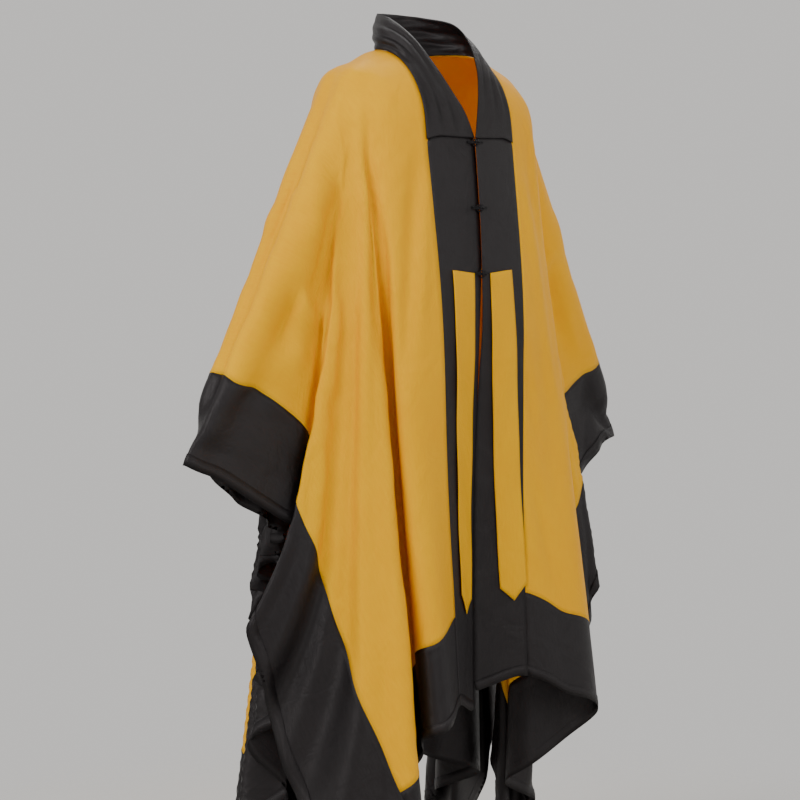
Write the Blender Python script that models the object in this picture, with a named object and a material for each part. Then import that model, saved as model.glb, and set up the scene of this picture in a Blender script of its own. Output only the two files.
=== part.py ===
"""A wide sleeveless-cut ceremonial robe, worn open-sided with both arms lowered and held out a little.

The robe is two big rectangles joined over the shoulders, with wide dark borders, dark front bands, a
standing collar, three knot buttons and two pointed ribbons. Every piece is a closed cloth wall.
All sizes below are in centimetres. World axes: +Z up, the front faces -Y, the wearer's right is -X.
The origin is at the neck, level with the top of the shoulder line.
"""
import math

import bmesh
import bpy
from mathutils import Vector

CM = 0.01
RIGHT, LEFT = -1, 1

# Flat cut of the robe, measured from the centre line and from the shoulder line.
HALF_WIDTH = 96.0
LENGTH = 128.0
BORDER = 16.5
BAND = 11.0
SIDE_SEAM = HALF_WIDTH - BORDER
HEM_SEAM = LENGTH - BORDER
COLLAR_SEAM = 23.3
BACK_NECK_DROP = 6.0
WALL = 0.2
SEAM_GAP = 0.03
# The direction that decides how the strip along each seam is split in triangles.
SPLIT_ORDER = Vector((0.3, 0.5, 0.8))
SHARP_EDGE = math.radians(50)
# Half the stretch of cloth over which a direction on it is measured.
NORMAL_STEP = 0.4

# The general figure that the cloth hangs from: neck, shoulder point and how far each arm is lowered.
NECK_SIDE = 8.0
SHOULDER_OUT = 20.5
SHOULDER_DROP = 5.0
SHOULDER_SLOPE = 1.3
ARM_DROP = {RIGHT: 62.0, LEFT: 63.0}
ELBOW_DIP = 2.0
ELBOW_FADE = 25.0
# The cloth hangs in folds as far as this angle past straight down, and from there it is taut to the arm.
CURTAIN_LEAN = 7.0
# Length of cloth round the folds at this level under the shoulder line.
LEVEL = 100.0
SECTOR = 123.0

# Radius of the roll of cloth over the shoulder and the arm: distance from the centre line, radius.
ROLLS = ((0.0, 12.5), (BAND, 12.5), (SHOULDER_OUT, 8.5), (32.0, 6.0), (HALF_WIDTH, 5.0))

# One row for each place where the cloth turns. "along" is measured round the cloth, 100 cm below the
# shoulder. "top_depth" says how far forward (or back) the hanging line starts under the roll. The last
# two say where it has got to at that level: how far out from the centre, and how far forward (or back).
FRONT_FOLDS = (
    # along, top_depth, low_out, low_depth
    (0.0, 12.5, 0.0, 13.0),
    (11.0, 12.0, 9.5, 17.5),
    (19.0, 9.0, 16.3, 20.6),
    (23.5, 8.4, 18.0, 18.2),
    (31.0, 8.2, 12.0, 13.4),
    (37.5, 8.0, 11.6, 8.2),
    (44.5, 7.8, 17.0, 5.0),
    (52.0, 7.6, 23.6, 7.6),
    (59.0, 7.4, 22.2, 13.5),
    (66.0, 7.2, 23.4, 19.4),
    (73.0, 7.0, 28.4, 17.6),
    (82.0, 6.8, 29.8, 11.8),
    (90.0, 6.6, 29.0, 8.0),
    (97.0, 6.3, 31.4, 7.0),
    (104.0, 6.0, 35.2, 8.6),
    (111.0, 5.7, 37.2, 7.8),
    (119.0, 5.6, 35.4, 6.0),
    (127.0, 5.4, 33.6, 5.0),
    (135.0, 5.3, 32.9, 4.3),
    (143.5, 5.3, 34.6, 3.7),
    (152.4, 5.3, 41.3, 3.0),
    (161.3, 5.3, 49.7, 2.1),
    (170.2, 5.3, 58.0, 1.1),
    (180.9, 5.3, 67.4, 0.0),
    (200.0, 5.3, 83.0, -2.0),
)
LEFT_FRONT_FOLDS = (
    # along, top_depth, low_out, low_depth
    (0.0, 12.5, 0.0, 13.0),
    (11.0, 12.0, 9.5, 15.8),
    (19.0, 9.0, 16.8, 18.0),
    (26.0, 8.4, 23.0, 18.6),
    (31.5, 8.2, 26.6, 16.4),
    (37.5, 8.0, 24.2, 12.4),
    (44.0, 7.8, 18.6, 10.4),
    (50.0, 7.6, 17.4, 6.0),
    (56.0, 7.4, 21.8, 5.0),
    (62.0, 7.3, 26.2, 4.4),
    (67.0, 7.2, 25.6, 2.8),
    (73.0, 7.0, 21.6, 2.4),
    (80.0, 6.8, 20.2, 0.8),
    (88.0, 6.6, 25.2, 0.2),
    (96.0, 6.5, 30.4, 3.4),
    (104.0, 6.5, 34.6, 9.0),
    (111.0, 6.2, 36.8, 8.4),
    (119.0, 5.8, 35.4, 6.2),
    (127.0, 5.6, 33.6, 5.1),
    (135.0, 5.5, 32.9, 4.3),
    (143.5, 5.4, 34.6, 3.6),
    (152.4, 5.3, 41.3, 3.0),
    (161.3, 5.3, 49.7, 2.1),
    (170.2, 5.3, 58.0, 1.1),
    (180.9, 5.3, 67.4, 0.0),
    (200.0, 5.3, 83.0, -2.0),
)
BACK_FOLDS = (
    # along, top_depth, low_out, low_depth
    (0.0, 10.5, 0.0, 17.0),
    (7.0, 10.5, 6.5, 13.5),
    (14.0, 9.5, 12.5, 16.2),
    (19.5, 8.2, 16.6, 18.4),
    (24.0, 8.0, 18.0, 16.2),
    (31.0, 7.8, 12.8, 12.0),
    (37.5, 7.6, 12.6, 7.0),
    (44.0, 7.4, 18.0, 4.2),
    (51.0, 7.2, 24.0, 6.8),
    (58.0, 7.0, 22.6, 12.0),
    (66.0, 6.8, 23.6, 17.3),
    (74.0, 6.6, 29.0, 15.3),
    (83.0, 6.4, 30.0, 9.8),
    (91.0, 6.2, 29.4, 6.6),
    (98.0, 6.1, 30.6, 6.2),
    (105.0, 6.0, 33.0, 7.6),
    (111.0, 5.8, 34.4, 7.0),
    (119.0, 5.6, 33.6, 5.6),
    (127.0, 5.4, 32.8, 4.9),
    (135.0, 5.3, 32.9, 4.3),
    (143.5, 5.3, 34.6, 3.7),
    (152.4, 5.3, 41.3, 3.0),
    (161.3, 5.3, 49.7, 2.1),
    (170.2, 5.3, 58.0, 1.1),
    (180.9, 5.3, 67.4, 0.0),
    (200.0, 5.3, 83.0, -2.0),
)
# The turns are rounded by averaging the table over this far each side: at the shoulder, and from
# FOLD_FULL downwards.
ROUND_NEAR, ROUND_FAR, FOLD_FULL = 20.0, 2.0, 60.0

# Rows of the cloth's grid, as distances from the shoulder line on a plain part of the robe.
GRID_ROWS = (0.0, 4.0, 8.0, 13.0, 18.0, COLLAR_SEAM, 31.0, 40.0, 52.0, 66.0, 81.0, 96.0, HEM_SEAM)
BORDER_STEPS = 3
BORDER_COLUMNS = 4
BAND_COLUMNS = 6
# Grid lines in the borders lean with the fan and straighten out towards the corner at this power.
BORDER_STRAIGHTEN = 3
PANEL_COLUMNS = (BAND, 15.5, SHOULDER_OUT)
BACK_NECK_COLUMNS = (0.0, 3.7, 7.4, BAND)
# The lines of the fan leave the shoulder point as the folds do: the number that end on the hem seam, the
# number from there up the side seam to where the roll begins, and where the last ones end on the roll.
FAN_TO_HEM = 16
FAN_TO_SIDE = 27
ROLL_START = 18.0
ROLL_ENDS = (13.0, 9.0, 6.0, 3.0, 0.0)
# Rounds of the sum that finds where a line meets the hem seam.
HEM_ROUNDS = 12
# The rows nearest to the shoulder point only use every so many of the lines.
FAN_THINNING = {4.0: 12, 8.0: 6, 13.0: 3}

# Half of the slit between the fronts, at a distance from the shoulder line.
SLIT = ((0.0, 0.015), (48.0, 0.015), (60.0, 0.5), (74.0, 0.2), (95.0, 0.08), (128.0, 0.35))
# The fronts are pulled up over the chest, most of all at LIFT_MIDDLE from the centre line, and the left
# front a little more than the right.
FRONT_LIFT = 9.0
LIFT_START = 14.0
LIFT_MIDDLE = 24.0
LIFT_SPREAD = 22.0
LEFT_LIFT = 3.5
LEFT_START = 50.0
LEFT_SPREAD = 30.0
# The left front has folds of its own from LEFT_BLEND outwards. They deepen at this power of the way down.
LEFT_BLEND = 19.0
LEFT_POWER = 1.25
# The right front's side border turns back from WRAP_START on: how far its edge goes, by its height.
WRAP_START = 77.0
WRAP_POWER = 1.5
WRAP_OUT = 0.25
WRAPS = ((0.0, 0.0), (66.0, 0.0), (75.0, 4.5), (85.0, 9.5), (96.0, 11.0), (110.0, 10.5), (130.0, 9.5))

# Standing collar, one row for each section from the front seam round to the back of the neck: where its
# seam lies on the cloth, where its free edge stands, and how much it swells between the two. The seat
# keeps a part that stands up clear of the cloth under it, and the tilt is that of the swell.
COLLAR_SEAT = 0.6 * WALL
COLLAR_TILT = 2.0
COLLAR_SECTIONS = (
    # seam_across, seam_down, edge_out, edge_forward, edge_up, swell
    (11.0, 18.0, 1.6, 12.6, -12.0, 0.1),
    (11.0, 13.0, 3.5, 11.0, -8.0, 0.3),
    (11.0, 8.0, 5.4, 8.8, -3.6, 0.6),
    (11.0, 4.0, 7.0, 5.2, 1.2, 0.9),
    (11.0, 0.0, 7.8, 0.6, 4.6, 1.0),
    (7.4, -4.44, 5.8, -4.8, 6.0, 0.9),
    (3.7, -5.65, 3.0, -6.9, 6.4, 0.7),
    (0.0, -6.0, 0.0, -7.6, 6.5, 0.7),
)

BUTTON_TOP = 24.6
BUTTON_PITCH = 11.8
BUTTON_COUNT = 3
# Knot and its stem, from the tail to the far side of the ball: across, height over the cloth, radius.
KNOT_SECTIONS = (
    (1.8, 0.30, 0.16),
    (1.45, 0.31, 0.16),
    (1.15, 0.50, 0.16),
    (0.85, 0.66, 0.17),
    (0.56, 0.78, 0.24),
    (0.36, 0.82, 0.47),
    (0.0, 0.84, 0.60),
    (-0.36, 0.82, 0.47),
    (-0.54, 0.80, 0.22),
)
TUBE_SIDES = 8
# Cord loop round the knot: its round end, the neck behind it and its far end.
LOOP_RADIUS = 0.62
LOOP_NECK = 0.33
LOOP_TAIL = 1.8
LOOP_CORD = 0.13
LOOP_END = 0.21
LOOP_HEIGHT = 0.27
LOOP_STEPS = 8

RIBBON_TOP = 48.2
RIBBON_LENGTH = 60.0
# Length of the pulled-up band that each centimetre of ribbon lies over.
RIBBON_SPAN = {RIGHT: 1.04, LEFT: 1.08}
RIBBON_HALF = 2.9
RIBBON_POINT = 3.0
RIBBON_ROWS = 8
# Middle of each ribbon, measured from the centre line: at its top and at its tip.
RIBBON_PLACE = {RIGHT: (4.9, 4.4), LEFT: (4.9, 8.4)}
# Height over the band at the top, and from a quarter of the way down.
RIBBON_LIFT = (0.27, 0.4)
RIBBON_COLUMNS = (-1.0, -0.5, 0.0, 0.5, 1.0)
# The pointed end keeps this share of the width, and its corners come down this share of the point.
RIBBON_TIP_WIDTH = 0.9
RIBBON_TIP_CORNER = 0.12


def new_collection(name):
    """Returns a collection linked to the scene."""
    made = bpy.data.collections.new(name)
    bpy.context.scene.collection.children.link(made)
    return made


def new_material(name, colour, roughness):
    """Returns a plain Principled material."""
    made = bpy.data.materials.new(name)
    made.use_nodes = True
    shader = made.node_tree.nodes["Principled BSDF"]
    shader.inputs["Base Color"].default_value = (*colour, 1.0)
    shader.inputs["Roughness"].default_value = roughness
    shader.inputs["Metallic"].default_value = 0.0
    return made


def curve(rows, key, column):
    """Smooth curve through one column of a table, read at key. Column 0 is the key of each row."""
    last = len(rows) - 1
    if key >= rows[last][0]:
        return rows[last][column]
    at = 0
    while rows[at + 1][0] < key:
        at += 1

    def slope(place):
        low, high = max(place - 1, 0), min(place + 1, last)
        return (rows[high][column] - rows[low][column]) / (rows[high][0] - rows[low][0])

    span = rows[at + 1][0] - rows[at][0]
    u = (key - rows[at][0]) / span
    start, end = rows[at][column], rows[at + 1][column]
    return (
        (2 * u ** 3 - 3 * u ** 2 + 1) * start
        + (u ** 3 - 2 * u ** 2 + u) * slope(at) * span
        + (3 * u ** 2 - 2 * u ** 3) * end
        + (u ** 3 - u ** 2) * slope(at + 1) * span
    )


class Folds:
    """A fold table that gives its columns averaged over a stretch of the cloth."""

    STEP = 0.5
    REACH = 24.0

    def __init__(self, rows):
        count = round((rows[-1][0] + 2 * self.REACH) / self.STEP)
        self.sums = [(0.0, 0.0, 0.0)]
        for k in range(count):
            key = (k + 0.5) * self.STEP - self.REACH
            depth_top, out, depth = (curve(rows, abs(key), column) for column in (1, 2, 3))
            row = (depth_top, out if key > 0 else -out, depth)
            self.sums.append(tuple(total + value * self.STEP for total, value in zip(self.sums[-1], row)))

    def sum_at(self, key):
        place = min(max((key + self.REACH) / self.STEP, 0.0), len(self.sums) - 1.001)
        at = int(place)
        return [low + (high - low) * (place - at) for low, high in zip(self.sums[at], self.sums[at + 1])]

    def around(self, key, window):
        """Average of each column within the window either side of key."""
        low, high = self.sum_at(key - window), self.sum_at(key + window)
        return [(b - a) / (2 * window) for a, b in zip(low, high)]


FRONT, LEFT_FRONT, BACK = Folds(FRONT_FOLDS), Folds(LEFT_FRONT_FOLDS), Folds(BACK_FOLDS)


def between(rows, key):
    """Straight interpolation in rows of (key, value)."""
    for (near, near_value), (far, far_value) in zip(rows, rows[1:]):
        if key <= far:
            return near_value + (far_value - near_value) * (key - near) / (far - near)
    return rows[-1][1]


def ridge_height(across):
    """Height of the shoulder line between the neck and the shoulder point."""
    if across <= NECK_SIDE:
        return 0.0
    return -SHOULDER_DROP * ((across - NECK_SIDE) / (SHOULDER_OUT - NECK_SIDE)) ** SHOULDER_SLOPE


def fall_of(across, length):
    """How far a thread of that length has come down, after bending over the roll."""
    radius = between(ROLLS, across)
    turn = min(length / radius, math.pi / 2)
    return radius * (1 - math.cos(turn)) + max(length - radius * math.pi / 2, 0.0)


def length_of(across, fall):
    """Length of thread that comes down as far as fall."""
    radius = between(ROLLS, across)
    if fall < radius:
        return radius * math.acos(1 - fall / radius)
    return fall + radius * (math.pi / 2 - 1)


def front_lift(side, across, down):
    """How far the front is pulled up at a point of the flat cut."""
    lowered = max(down - LIFT_START, 0.0) / (LENGTH - LIFT_START)
    lift = FRONT_LIFT * lowered * math.exp(-(((across - LIFT_MIDDLE) / LIFT_SPREAD) ** 2))
    if side == LEFT:
        lowered = max(down - LEFT_START, 0.0) / (LENGTH - LEFT_START)
        lift += LEFT_LIFT * lowered * math.exp(-((across / LEFT_SPREAD) ** 2))
    return lift


def hang(folds, power, along, window, share):
    """How far out a thread of the cloth aims, how deep it has got to, and how much it deepens in all."""
    top_depth, low_out, low_depth = folds.around(along, window)
    return Vector((low_out, top_depth + (low_depth - top_depth) * share ** power, low_depth - top_depth))


def cloth_point(side, across, down):
    """Place of a point of the flat cut on the worn robe.

    across is its distance from the centre line, down its distance from the shoulder line: positive on
    the front, negative on the back.
    """
    if across < 0:
        mirrored = cloth_point(side, -across, down)
        return Vector((-mirrored.x, mirrored.y, mirrored.z))
    forward = -1.0 if down >= 0 else 1.0
    length = abs(down)
    fall = fall_of(across, length)
    bulge = math.sin(min(length / between(ROLLS, across), math.pi / 2))
    if across <= SHOULDER_OUT:
        along, reach = across, fall
        start_out, start_up = across, ridge_height(across)
    else:
        reach = math.hypot(across - SHOULDER_OUT, fall)
        heading = math.degrees(math.atan2(across - SHOULDER_OUT, fall))
        along = SHOULDER_OUT + SECTOR * heading / (ARM_DROP[side] + CURTAIN_LEAN)
        start_out, start_up = SHOULDER_OUT, -SHOULDER_DROP
    window = ROUND_FAR + (ROUND_NEAR - ROUND_FAR) * max(1 - reach / FOLD_FULL, 0.0)
    share = reach / LEVEL
    low_out, depth, deepening = hang(FRONT if down >= 0 else BACK, 1.0, along, window, share)
    if side == LEFT and down >= 0:
        own = min(along / LEFT_BLEND, 1.0) ** 2
        left_hang = hang(LEFT_FRONT, LEFT_POWER, along, window, share)
        low_out, depth, deepening = Vector((low_out, depth, deepening)).lerp(left_hang, own)
    out = start_out + (low_out - start_out) * share
    if side == RIGHT and down >= 0 and across > WRAP_START:
        wrap = between(WRAPS, fall) * ((across - WRAP_START) / (HALF_WIDTH - WRAP_START)) ** WRAP_POWER
        out += WRAP_OUT * wrap
        depth -= (1 - WRAP_OUT) * wrap
    slant = math.hypot(low_out - start_out, deepening) / LEVEL
    up = start_up - reach * math.sqrt(1 - slant ** 2) + front_lift(side, across, down)
    if across > SHOULDER_OUT:
        arm_share = (across - SHOULDER_OUT) / (HALF_WIDTH - SHOULDER_OUT)
        out -= ELBOW_DIP * math.sin(math.pi * arm_share) * math.exp(-length / ELBOW_FADE)
    return Vector((side * out, forward * bulge * depth, up))


def cloth_normal(side, across, down):
    """Direction out of the robe at a point of the flat cut."""
    step = NORMAL_STEP
    along = cloth_point(side, across + step, down) - cloth_point(side, across - step, down)
    drop = cloth_point(side, across, down + step) - cloth_point(side, across, down - step)
    return (drop.cross(along) * side).normalized()


def fan_lines():
    """Headings of the fan's lines from the shoulder point, in radians from straight down."""
    reach_out = SIDE_SEAM - SHOULDER_OUT
    corner = math.atan2(reach_out, fall_of(SIDE_SEAM, HEM_SEAM))
    side = math.atan2(reach_out, fall_of(SIDE_SEAM, ROLL_START))
    lines = [corner * k / FAN_TO_HEM for k in range(FAN_TO_HEM)]
    lines += [corner + (side - corner) * k / FAN_TO_SIDE for k in range(FAN_TO_SIDE + 1)]
    lines += [math.atan2(reach_out, fall_of(SIDE_SEAM, end)) for end in ROLL_ENDS]
    return lines


def fan_end(k, heading):
    """Flat point where line k of the fan meets the hem seam or the side seam."""
    if k < FAN_TO_HEM:
        across = SHOULDER_OUT
        for _ in range(HEM_ROUNDS):
            across = SHOULDER_OUT + fall_of(across, HEM_SEAM) * math.tan(heading)
        return (across, HEM_SEAM)
    fall = (SIDE_SEAM - SHOULDER_OUT) / math.tan(heading)
    return (SIDE_SEAM, length_of(SIDE_SEAM, fall) if heading < math.pi / 2 - 1e-9 else 0.0)


def fan_rows():
    """Rows of the fan: for each row, its (line number, flat point) pairs."""
    lines = fan_lines()
    ends = [fan_end(k, heading) for k, heading in enumerate(lines)]
    last_fall = fall_of(SHOULDER_OUT, HEM_SEAM)
    rows = []
    for row in GRID_ROWS[1:]:
        share = fall_of(SHOULDER_OUT, row) / last_fall
        points = []
        for k in range(0, len(lines), FAN_THINNING.get(row, 1)):
            full_out = ends[k][0] - SHOULDER_OUT
            full_fall = fall_of(*ends[k])
            across = SHOULDER_OUT + full_out * share
            points.append((k, (across, length_of(across, full_fall * share))))
        rows.append(points)
    return rows


class Cloth:
    """Collects a sheet of points and triangles, and makes a closed wall of them."""

    def __init__(self):
        self.places = []
        self.index = {}
        self.triangles = []

    def corner(self, key, place, normal):
        if key not in self.index:
            self.index[key] = len(self.places)
            self.places.append((place, normal))
        return self.index[key]

    def grid(self, rows):
        """Adds a grid of (key, place, normal) points."""
        corners = [[self.corner(*point) for point in row] for row in rows]
        for low, high in zip(corners, corners[1:]):
            for k in range(len(low) - 1):
                self.triangles.append((low[k], low[k + 1], high[k + 1]))
                self.triangles.append((low[k], high[k + 1], high[k]))

    def strip(self, low, high, turned):
        """Joins two rows of (line number, point) pairs that may have different numbers of points."""
        low = [(k, self.corner(*point)) for k, point in low]
        high = [(k, self.corner(*point)) for k, point in high]
        a, b = 0, 0
        while a < len(low) - 1 or b < len(high) - 1:
            if b == len(high) - 1 or (a < len(low) - 1 and low[a + 1][0] <= high[b + 1][0]):
                triangle = (low[a][1], low[a + 1][1], high[b][1])
                a += 1
            else:
                triangle = (low[a][1], high[b + 1][1], high[b][1])
                b += 1
            self.triangles.append(triangle[::-1] if turned else triangle)

    def make(self, name, material, group, thickness=WALL):
        """Makes the wall: both faces of the sheet and the strip round its edges."""
        mesh = bmesh.new()
        half = thickness / 2
        outer = [mesh.verts.new((place + normal * half) * CM) for place, normal in self.places]
        inner = [mesh.verts.new((place - normal * half) * CM) for place, normal in self.places]
        edges = set()
        for a, b, c in self.triangles:
            mesh.faces.new([outer[k] for k in (a, b, c)])
            mesh.faces.new([inner[k] for k in (c, b, a)])
            for start, end in ((a, b), (b, c), (c, a)):
                if (end, start) in edges:
                    edges.remove((end, start))
                else:
                    edges.add((start, end))
        for start, end in sorted(edges):
            # Both pieces at a seam split this strip the same way, so that they don't meet.
            if self.places[start][0].dot(SPLIT_ORDER) < self.places[end][0].dot(SPLIT_ORDER):
                start, end = end, start
            mesh.faces.new((outer[end], outer[start], inner[start]))
            mesh.faces.new((outer[end], inner[start], inner[end]))
        bmesh.ops.recalc_face_normals(mesh, faces=mesh.faces)
        return finish(name, mesh, material, group)


def finish(name, mesh, material, group):
    """Makes an object of a bmesh, in the given collection."""
    data = bpy.data.meshes.new(name)
    mesh.to_mesh(data)
    mesh.free()
    data.shade_smooth()
    data.set_sharp_from_angle(angle=SHARP_EDGE)
    data.materials.append(material)
    made = bpy.data.objects.new(name, data)
    group.objects.link(made)
    return made


def sheet_point(side, across, down):
    """Grid point on the worn robe for a point of the flat cut."""
    return ((round(across, 3), round(down, 3)), cloth_point(side, across, down), cloth_normal(side, across, down))


def sheet_row(side, flat_points):
    """Grid points on the worn robe for flat points (across, down)."""
    return [sheet_point(side, across, down) for across, down in flat_points]


def inset(value, low, high):
    """Keeps a flat measure half a seam gap inside a piece's edges."""
    return min(max(value, low + SEAM_GAP / 2), high - SEAM_GAP / 2)


def make_body(side, name, material, group):
    """Yellow panel of one side: front and back in one piece over the shoulder."""
    sheet = Cloth()
    rows = [inset(row, -LENGTH, HEM_SEAM) for row in GRID_ROWS]
    downs = [-row for row in reversed(rows[1:])] + rows
    sheet.grid([sheet_row(side, [(inset(a, BAND, SIDE_SEAM), down) for down in downs]) for a in PANEL_COLUMNS])
    neck = []
    for across in BACK_NECK_COLUMNS:
        drop = BACK_NECK_DROP * math.sqrt(1 - (across / BAND) ** 2)
        points = []
        for row in reversed(GRID_ROWS):
            down = drop + (HEM_SEAM - drop) * row / HEM_SEAM
            place_across = BAND + SEAM_GAP / 2 if across == BAND else inset(across, 0.0, SIDE_SEAM)
            points.append((place_across, -inset(down, -LENGTH, HEM_SEAM)))
        neck.append(sheet_row(side, points))
    sheet.grid(neck)
    for forward in (1, -1):
        low = [(0, sheet_point(side, SHOULDER_OUT, 0.0))]
        for points in fan_rows():
            high = [
                (k, sheet_point(side, inset(a, 0.0, SIDE_SEAM), forward * inset(d, -LENGTH, HEM_SEAM)))
                for k, (a, d) in points
            ]
            sheet.strip(low, high, forward > 0)
            low = high
    return sheet.make(name, material, group)


def side_rows():
    """Distances from the shoulder line at which the side border's grid lines leave the side seam."""
    seam = [end[1] for k, end in fan_rows()[-1] if k >= FAN_TO_HEM]
    hem = [HEM_SEAM + BORDER * k / BORDER_STEPS for k in range(1, BORDER_STEPS + 1)]
    return seam[::-1] + hem


def make_side_border(side, name, material, group):
    """Dark border down the outer edge, front and back in one strip over the arm."""
    sheet = Cloth()
    rows = side_rows()
    columns = []
    for down in [-row for row in reversed(rows[1:])] + rows:
        spread = BORDER / (SIDE_SEAM - SHOULDER_OUT) * (1 - (abs(down) / LENGTH) ** BORDER_STRAIGHTEN)
        points = []
        for k in range(BORDER_COLUMNS + 1):
            share = k / BORDER_COLUMNS
            across = SIDE_SEAM + SEAM_GAP / 2 + (BORDER - SEAM_GAP / 2) * share
            points.append((across, down * (1 + spread * share)))
        columns.append(sheet_row(side, points))
    sheet.grid(columns)
    return sheet.make(name, material, group)


def make_hem(side, forward, name, material, group):
    """Dark border along the bottom of one front or back, from its inner seam to the side border."""
    sheet = Cloth()
    first = PANEL_COLUMNS if forward > 0 else BACK_NECK_COLUMNS + PANEL_COLUMNS[1:]
    inner = BAND if forward > 0 else 0.0
    fan = [point[0] for k, point in fan_rows()[-1] if 0 < k <= FAN_TO_HEM]
    columns = []
    for across in list(first) + fan:
        outwards = max(across - SHOULDER_OUT, 0.0)
        reach = SIDE_SEAM - SHOULDER_OUT
        spread = outwards * BORDER / HEM_SEAM * (1 - (outwards / reach) ** BORDER_STRAIGHTEN)
        points = []
        for k in range(BORDER_STEPS + 1):
            share = k / BORDER_STEPS
            down = HEM_SEAM + SEAM_GAP / 2 + (BORDER - SEAM_GAP / 2) * share
            points.append((inset(across + spread * share, inner, SIDE_SEAM), forward * down))
        columns.append(sheet_row(side, points))
    sheet.grid(columns)
    return sheet.make(name, material, group)


def make_band(side, name, material, group):
    """Dark band down the centre front, from the collar seam to the hem."""
    sheet = Cloth()
    downs = [row for row in GRID_ROWS if row >= COLLAR_SEAM]
    downs += [HEM_SEAM + BORDER * k / BORDER_STEPS for k in range(1, BORDER_STEPS + 1)]
    downs[0] += SEAM_GAP / 2
    columns = []
    for down in downs:
        inner = between(SLIT, down)
        width = BAND - SEAM_GAP / 2 - inner
        points = [(inner + width * k / BAND_COLUMNS, down) for k in range(BAND_COLUMNS + 1)]
        columns.append(sheet_row(side, points))
    sheet.grid(columns)
    return sheet.make(name, material, group)


def collar_half(side):
    """Rows of places of the collar from the front seam to the middle of the back of the neck."""
    steps = range(BAND_COLUMNS + 1)
    seam_end = BAND - SEAM_GAP / 2
    low = COLLAR_SEAM - SEAM_GAP / 2
    slit = SLIT[0][1]
    rows = [[cloth_point(side, seam_end + (slit - seam_end) * k / BAND_COLUMNS, low) for k in steps]]
    for seam_across, seam_down, edge_out, edge_forward, edge_up, swell in COLLAR_SECTIONS:
        seam = cloth_point(side, seam_across, seam_down)
        edge = Vector((side * edge_out, -edge_forward, edge_up))
        standing = abs((edge - seam).normalized().dot(cloth_normal(side, seam_across, seam_down)))
        seam += (edge - seam).normalized() * (SEAM_GAP + COLLAR_SEAT * standing)
        away = Vector((seam.x + edge.x, seam.y + edge.y, COLLAR_TILT)).normalized()
        row = []
        for k in steps:
            share = k / BAND_COLUMNS
            row.append(seam.lerp(edge, share) + away * swell * math.sin(math.pi * share))
        rows.append(row)
    return rows


def grid_normals(rows):
    """Directions out of a grid of places, from its neighbours."""
    normals = []
    for r, row in enumerate(rows):
        line = []
        for k, _ in enumerate(row):
            above, below = rows[max(r - 1, 0)][k], rows[min(r + 1, len(rows) - 1)][k]
            before, after = row[max(k - 1, 0)], row[min(k + 1, len(row) - 1)]
            line.append((after - before).cross(below - above).normalized())
        normals.append(line)
    return normals


def make_collar(name, material, group):
    """Standing collar in one piece, from one front seam round the back of the neck to the other."""
    right, left = collar_half(RIGHT), collar_half(LEFT)
    rows = right + left[-2::-1]
    normals = grid_normals(rows)
    for side, line in ((RIGHT, normals[0]), (LEFT, normals[-1])):
        for k in range(BAND_COLUMNS + 1):
            line[k] = cloth_normal(side, BAND * (1 - k / BAND_COLUMNS), COLLAR_SEAM)
    sheet = Cloth()
    sheet.grid([
        [((r, k), rows[r][k], normals[r][k]) for k in range(BAND_COLUMNS + 1)] for r in range(len(rows))
    ])
    return sheet.make(name, material, group)


def make_ribbon(side, name, material, group):
    """Ribbon with a pointed end, sewn on at its top and hanging over the band."""
    sheet = Cloth()
    top_middle, tip_middle = RIBBON_PLACE[side]
    straight = (RIBBON_LENGTH - RIBBON_POINT) * RIBBON_SPAN[side]
    rows = []
    for r in range(RIBBON_ROWS + 2):
        share = min(r / RIBBON_ROWS, 1.0)
        along = straight * share
        middle = top_middle + (tip_middle - top_middle) * share
        lift = RIBBON_LIFT[0] + (RIBBON_LIFT[1] - RIBBON_LIFT[0]) * min(4 * share, 1.0)
        row = []
        for k in RIBBON_COLUMNS:
            down = RIBBON_TOP + along
            across = middle + RIBBON_HALF * k
            if r > RIBBON_ROWS:
                down += RIBBON_POINT * (1 - (1 - RIBBON_TIP_CORNER) * abs(k))
                across = middle + RIBBON_HALF * RIBBON_TIP_WIDTH * k
            normal = cloth_normal(side, across, down)
            row.append(((r, k), cloth_point(side, across, down) + normal * lift, normal))
        rows.append(row)
    sheet.grid(rows)
    return sheet.make(name, material, group)


def make_tube(name, places, radii, across_axis, material, group, closed=False):
    """Round tube through places with a radius at each, closed in a ring or capped at its ends."""
    mesh = bmesh.new()
    count = len(places)
    rings = []
    for k, place in enumerate(places):
        before = places[k - 1] if closed or k > 0 else place
        after = places[(k + 1) % count] if closed or k < count - 1 else place
        heading = (after - before).normalized()
        second = heading.cross(across_axis).normalized()
        first = second.cross(heading)
        ring = []
        for side in range(TUBE_SIDES):
            angle = 2 * math.pi * side / TUBE_SIDES
            arm = first * math.cos(angle) + second * math.sin(angle)
            ring.append(mesh.verts.new((place + arm * radii[k]) * CM))
        rings.append(ring)
    pairs = list(zip(rings, rings[1:])) + ([(rings[-1], rings[0])] if closed else [])
    for low, high in pairs:
        for side in range(TUBE_SIDES):
            nxt = (side + 1) % TUBE_SIDES
            mesh.faces.new((low[side], low[nxt], high[nxt], high[side]))
    if not closed:
        mesh.faces.new(rings[0])
        mesh.faces.new(rings[-1])
    bmesh.ops.recalc_face_normals(mesh, faces=mesh.faces)
    return finish(name, mesh, material, group)


def over_cloth(across, down, height):
    """Place at a height over the closed fronts. Positive across is on the wearer's right."""
    side = RIGHT if across >= 0 else LEFT
    place = cloth_point(side, abs(across), down)
    return place + cloth_normal(RIGHT, 0.0, down) * height


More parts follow.
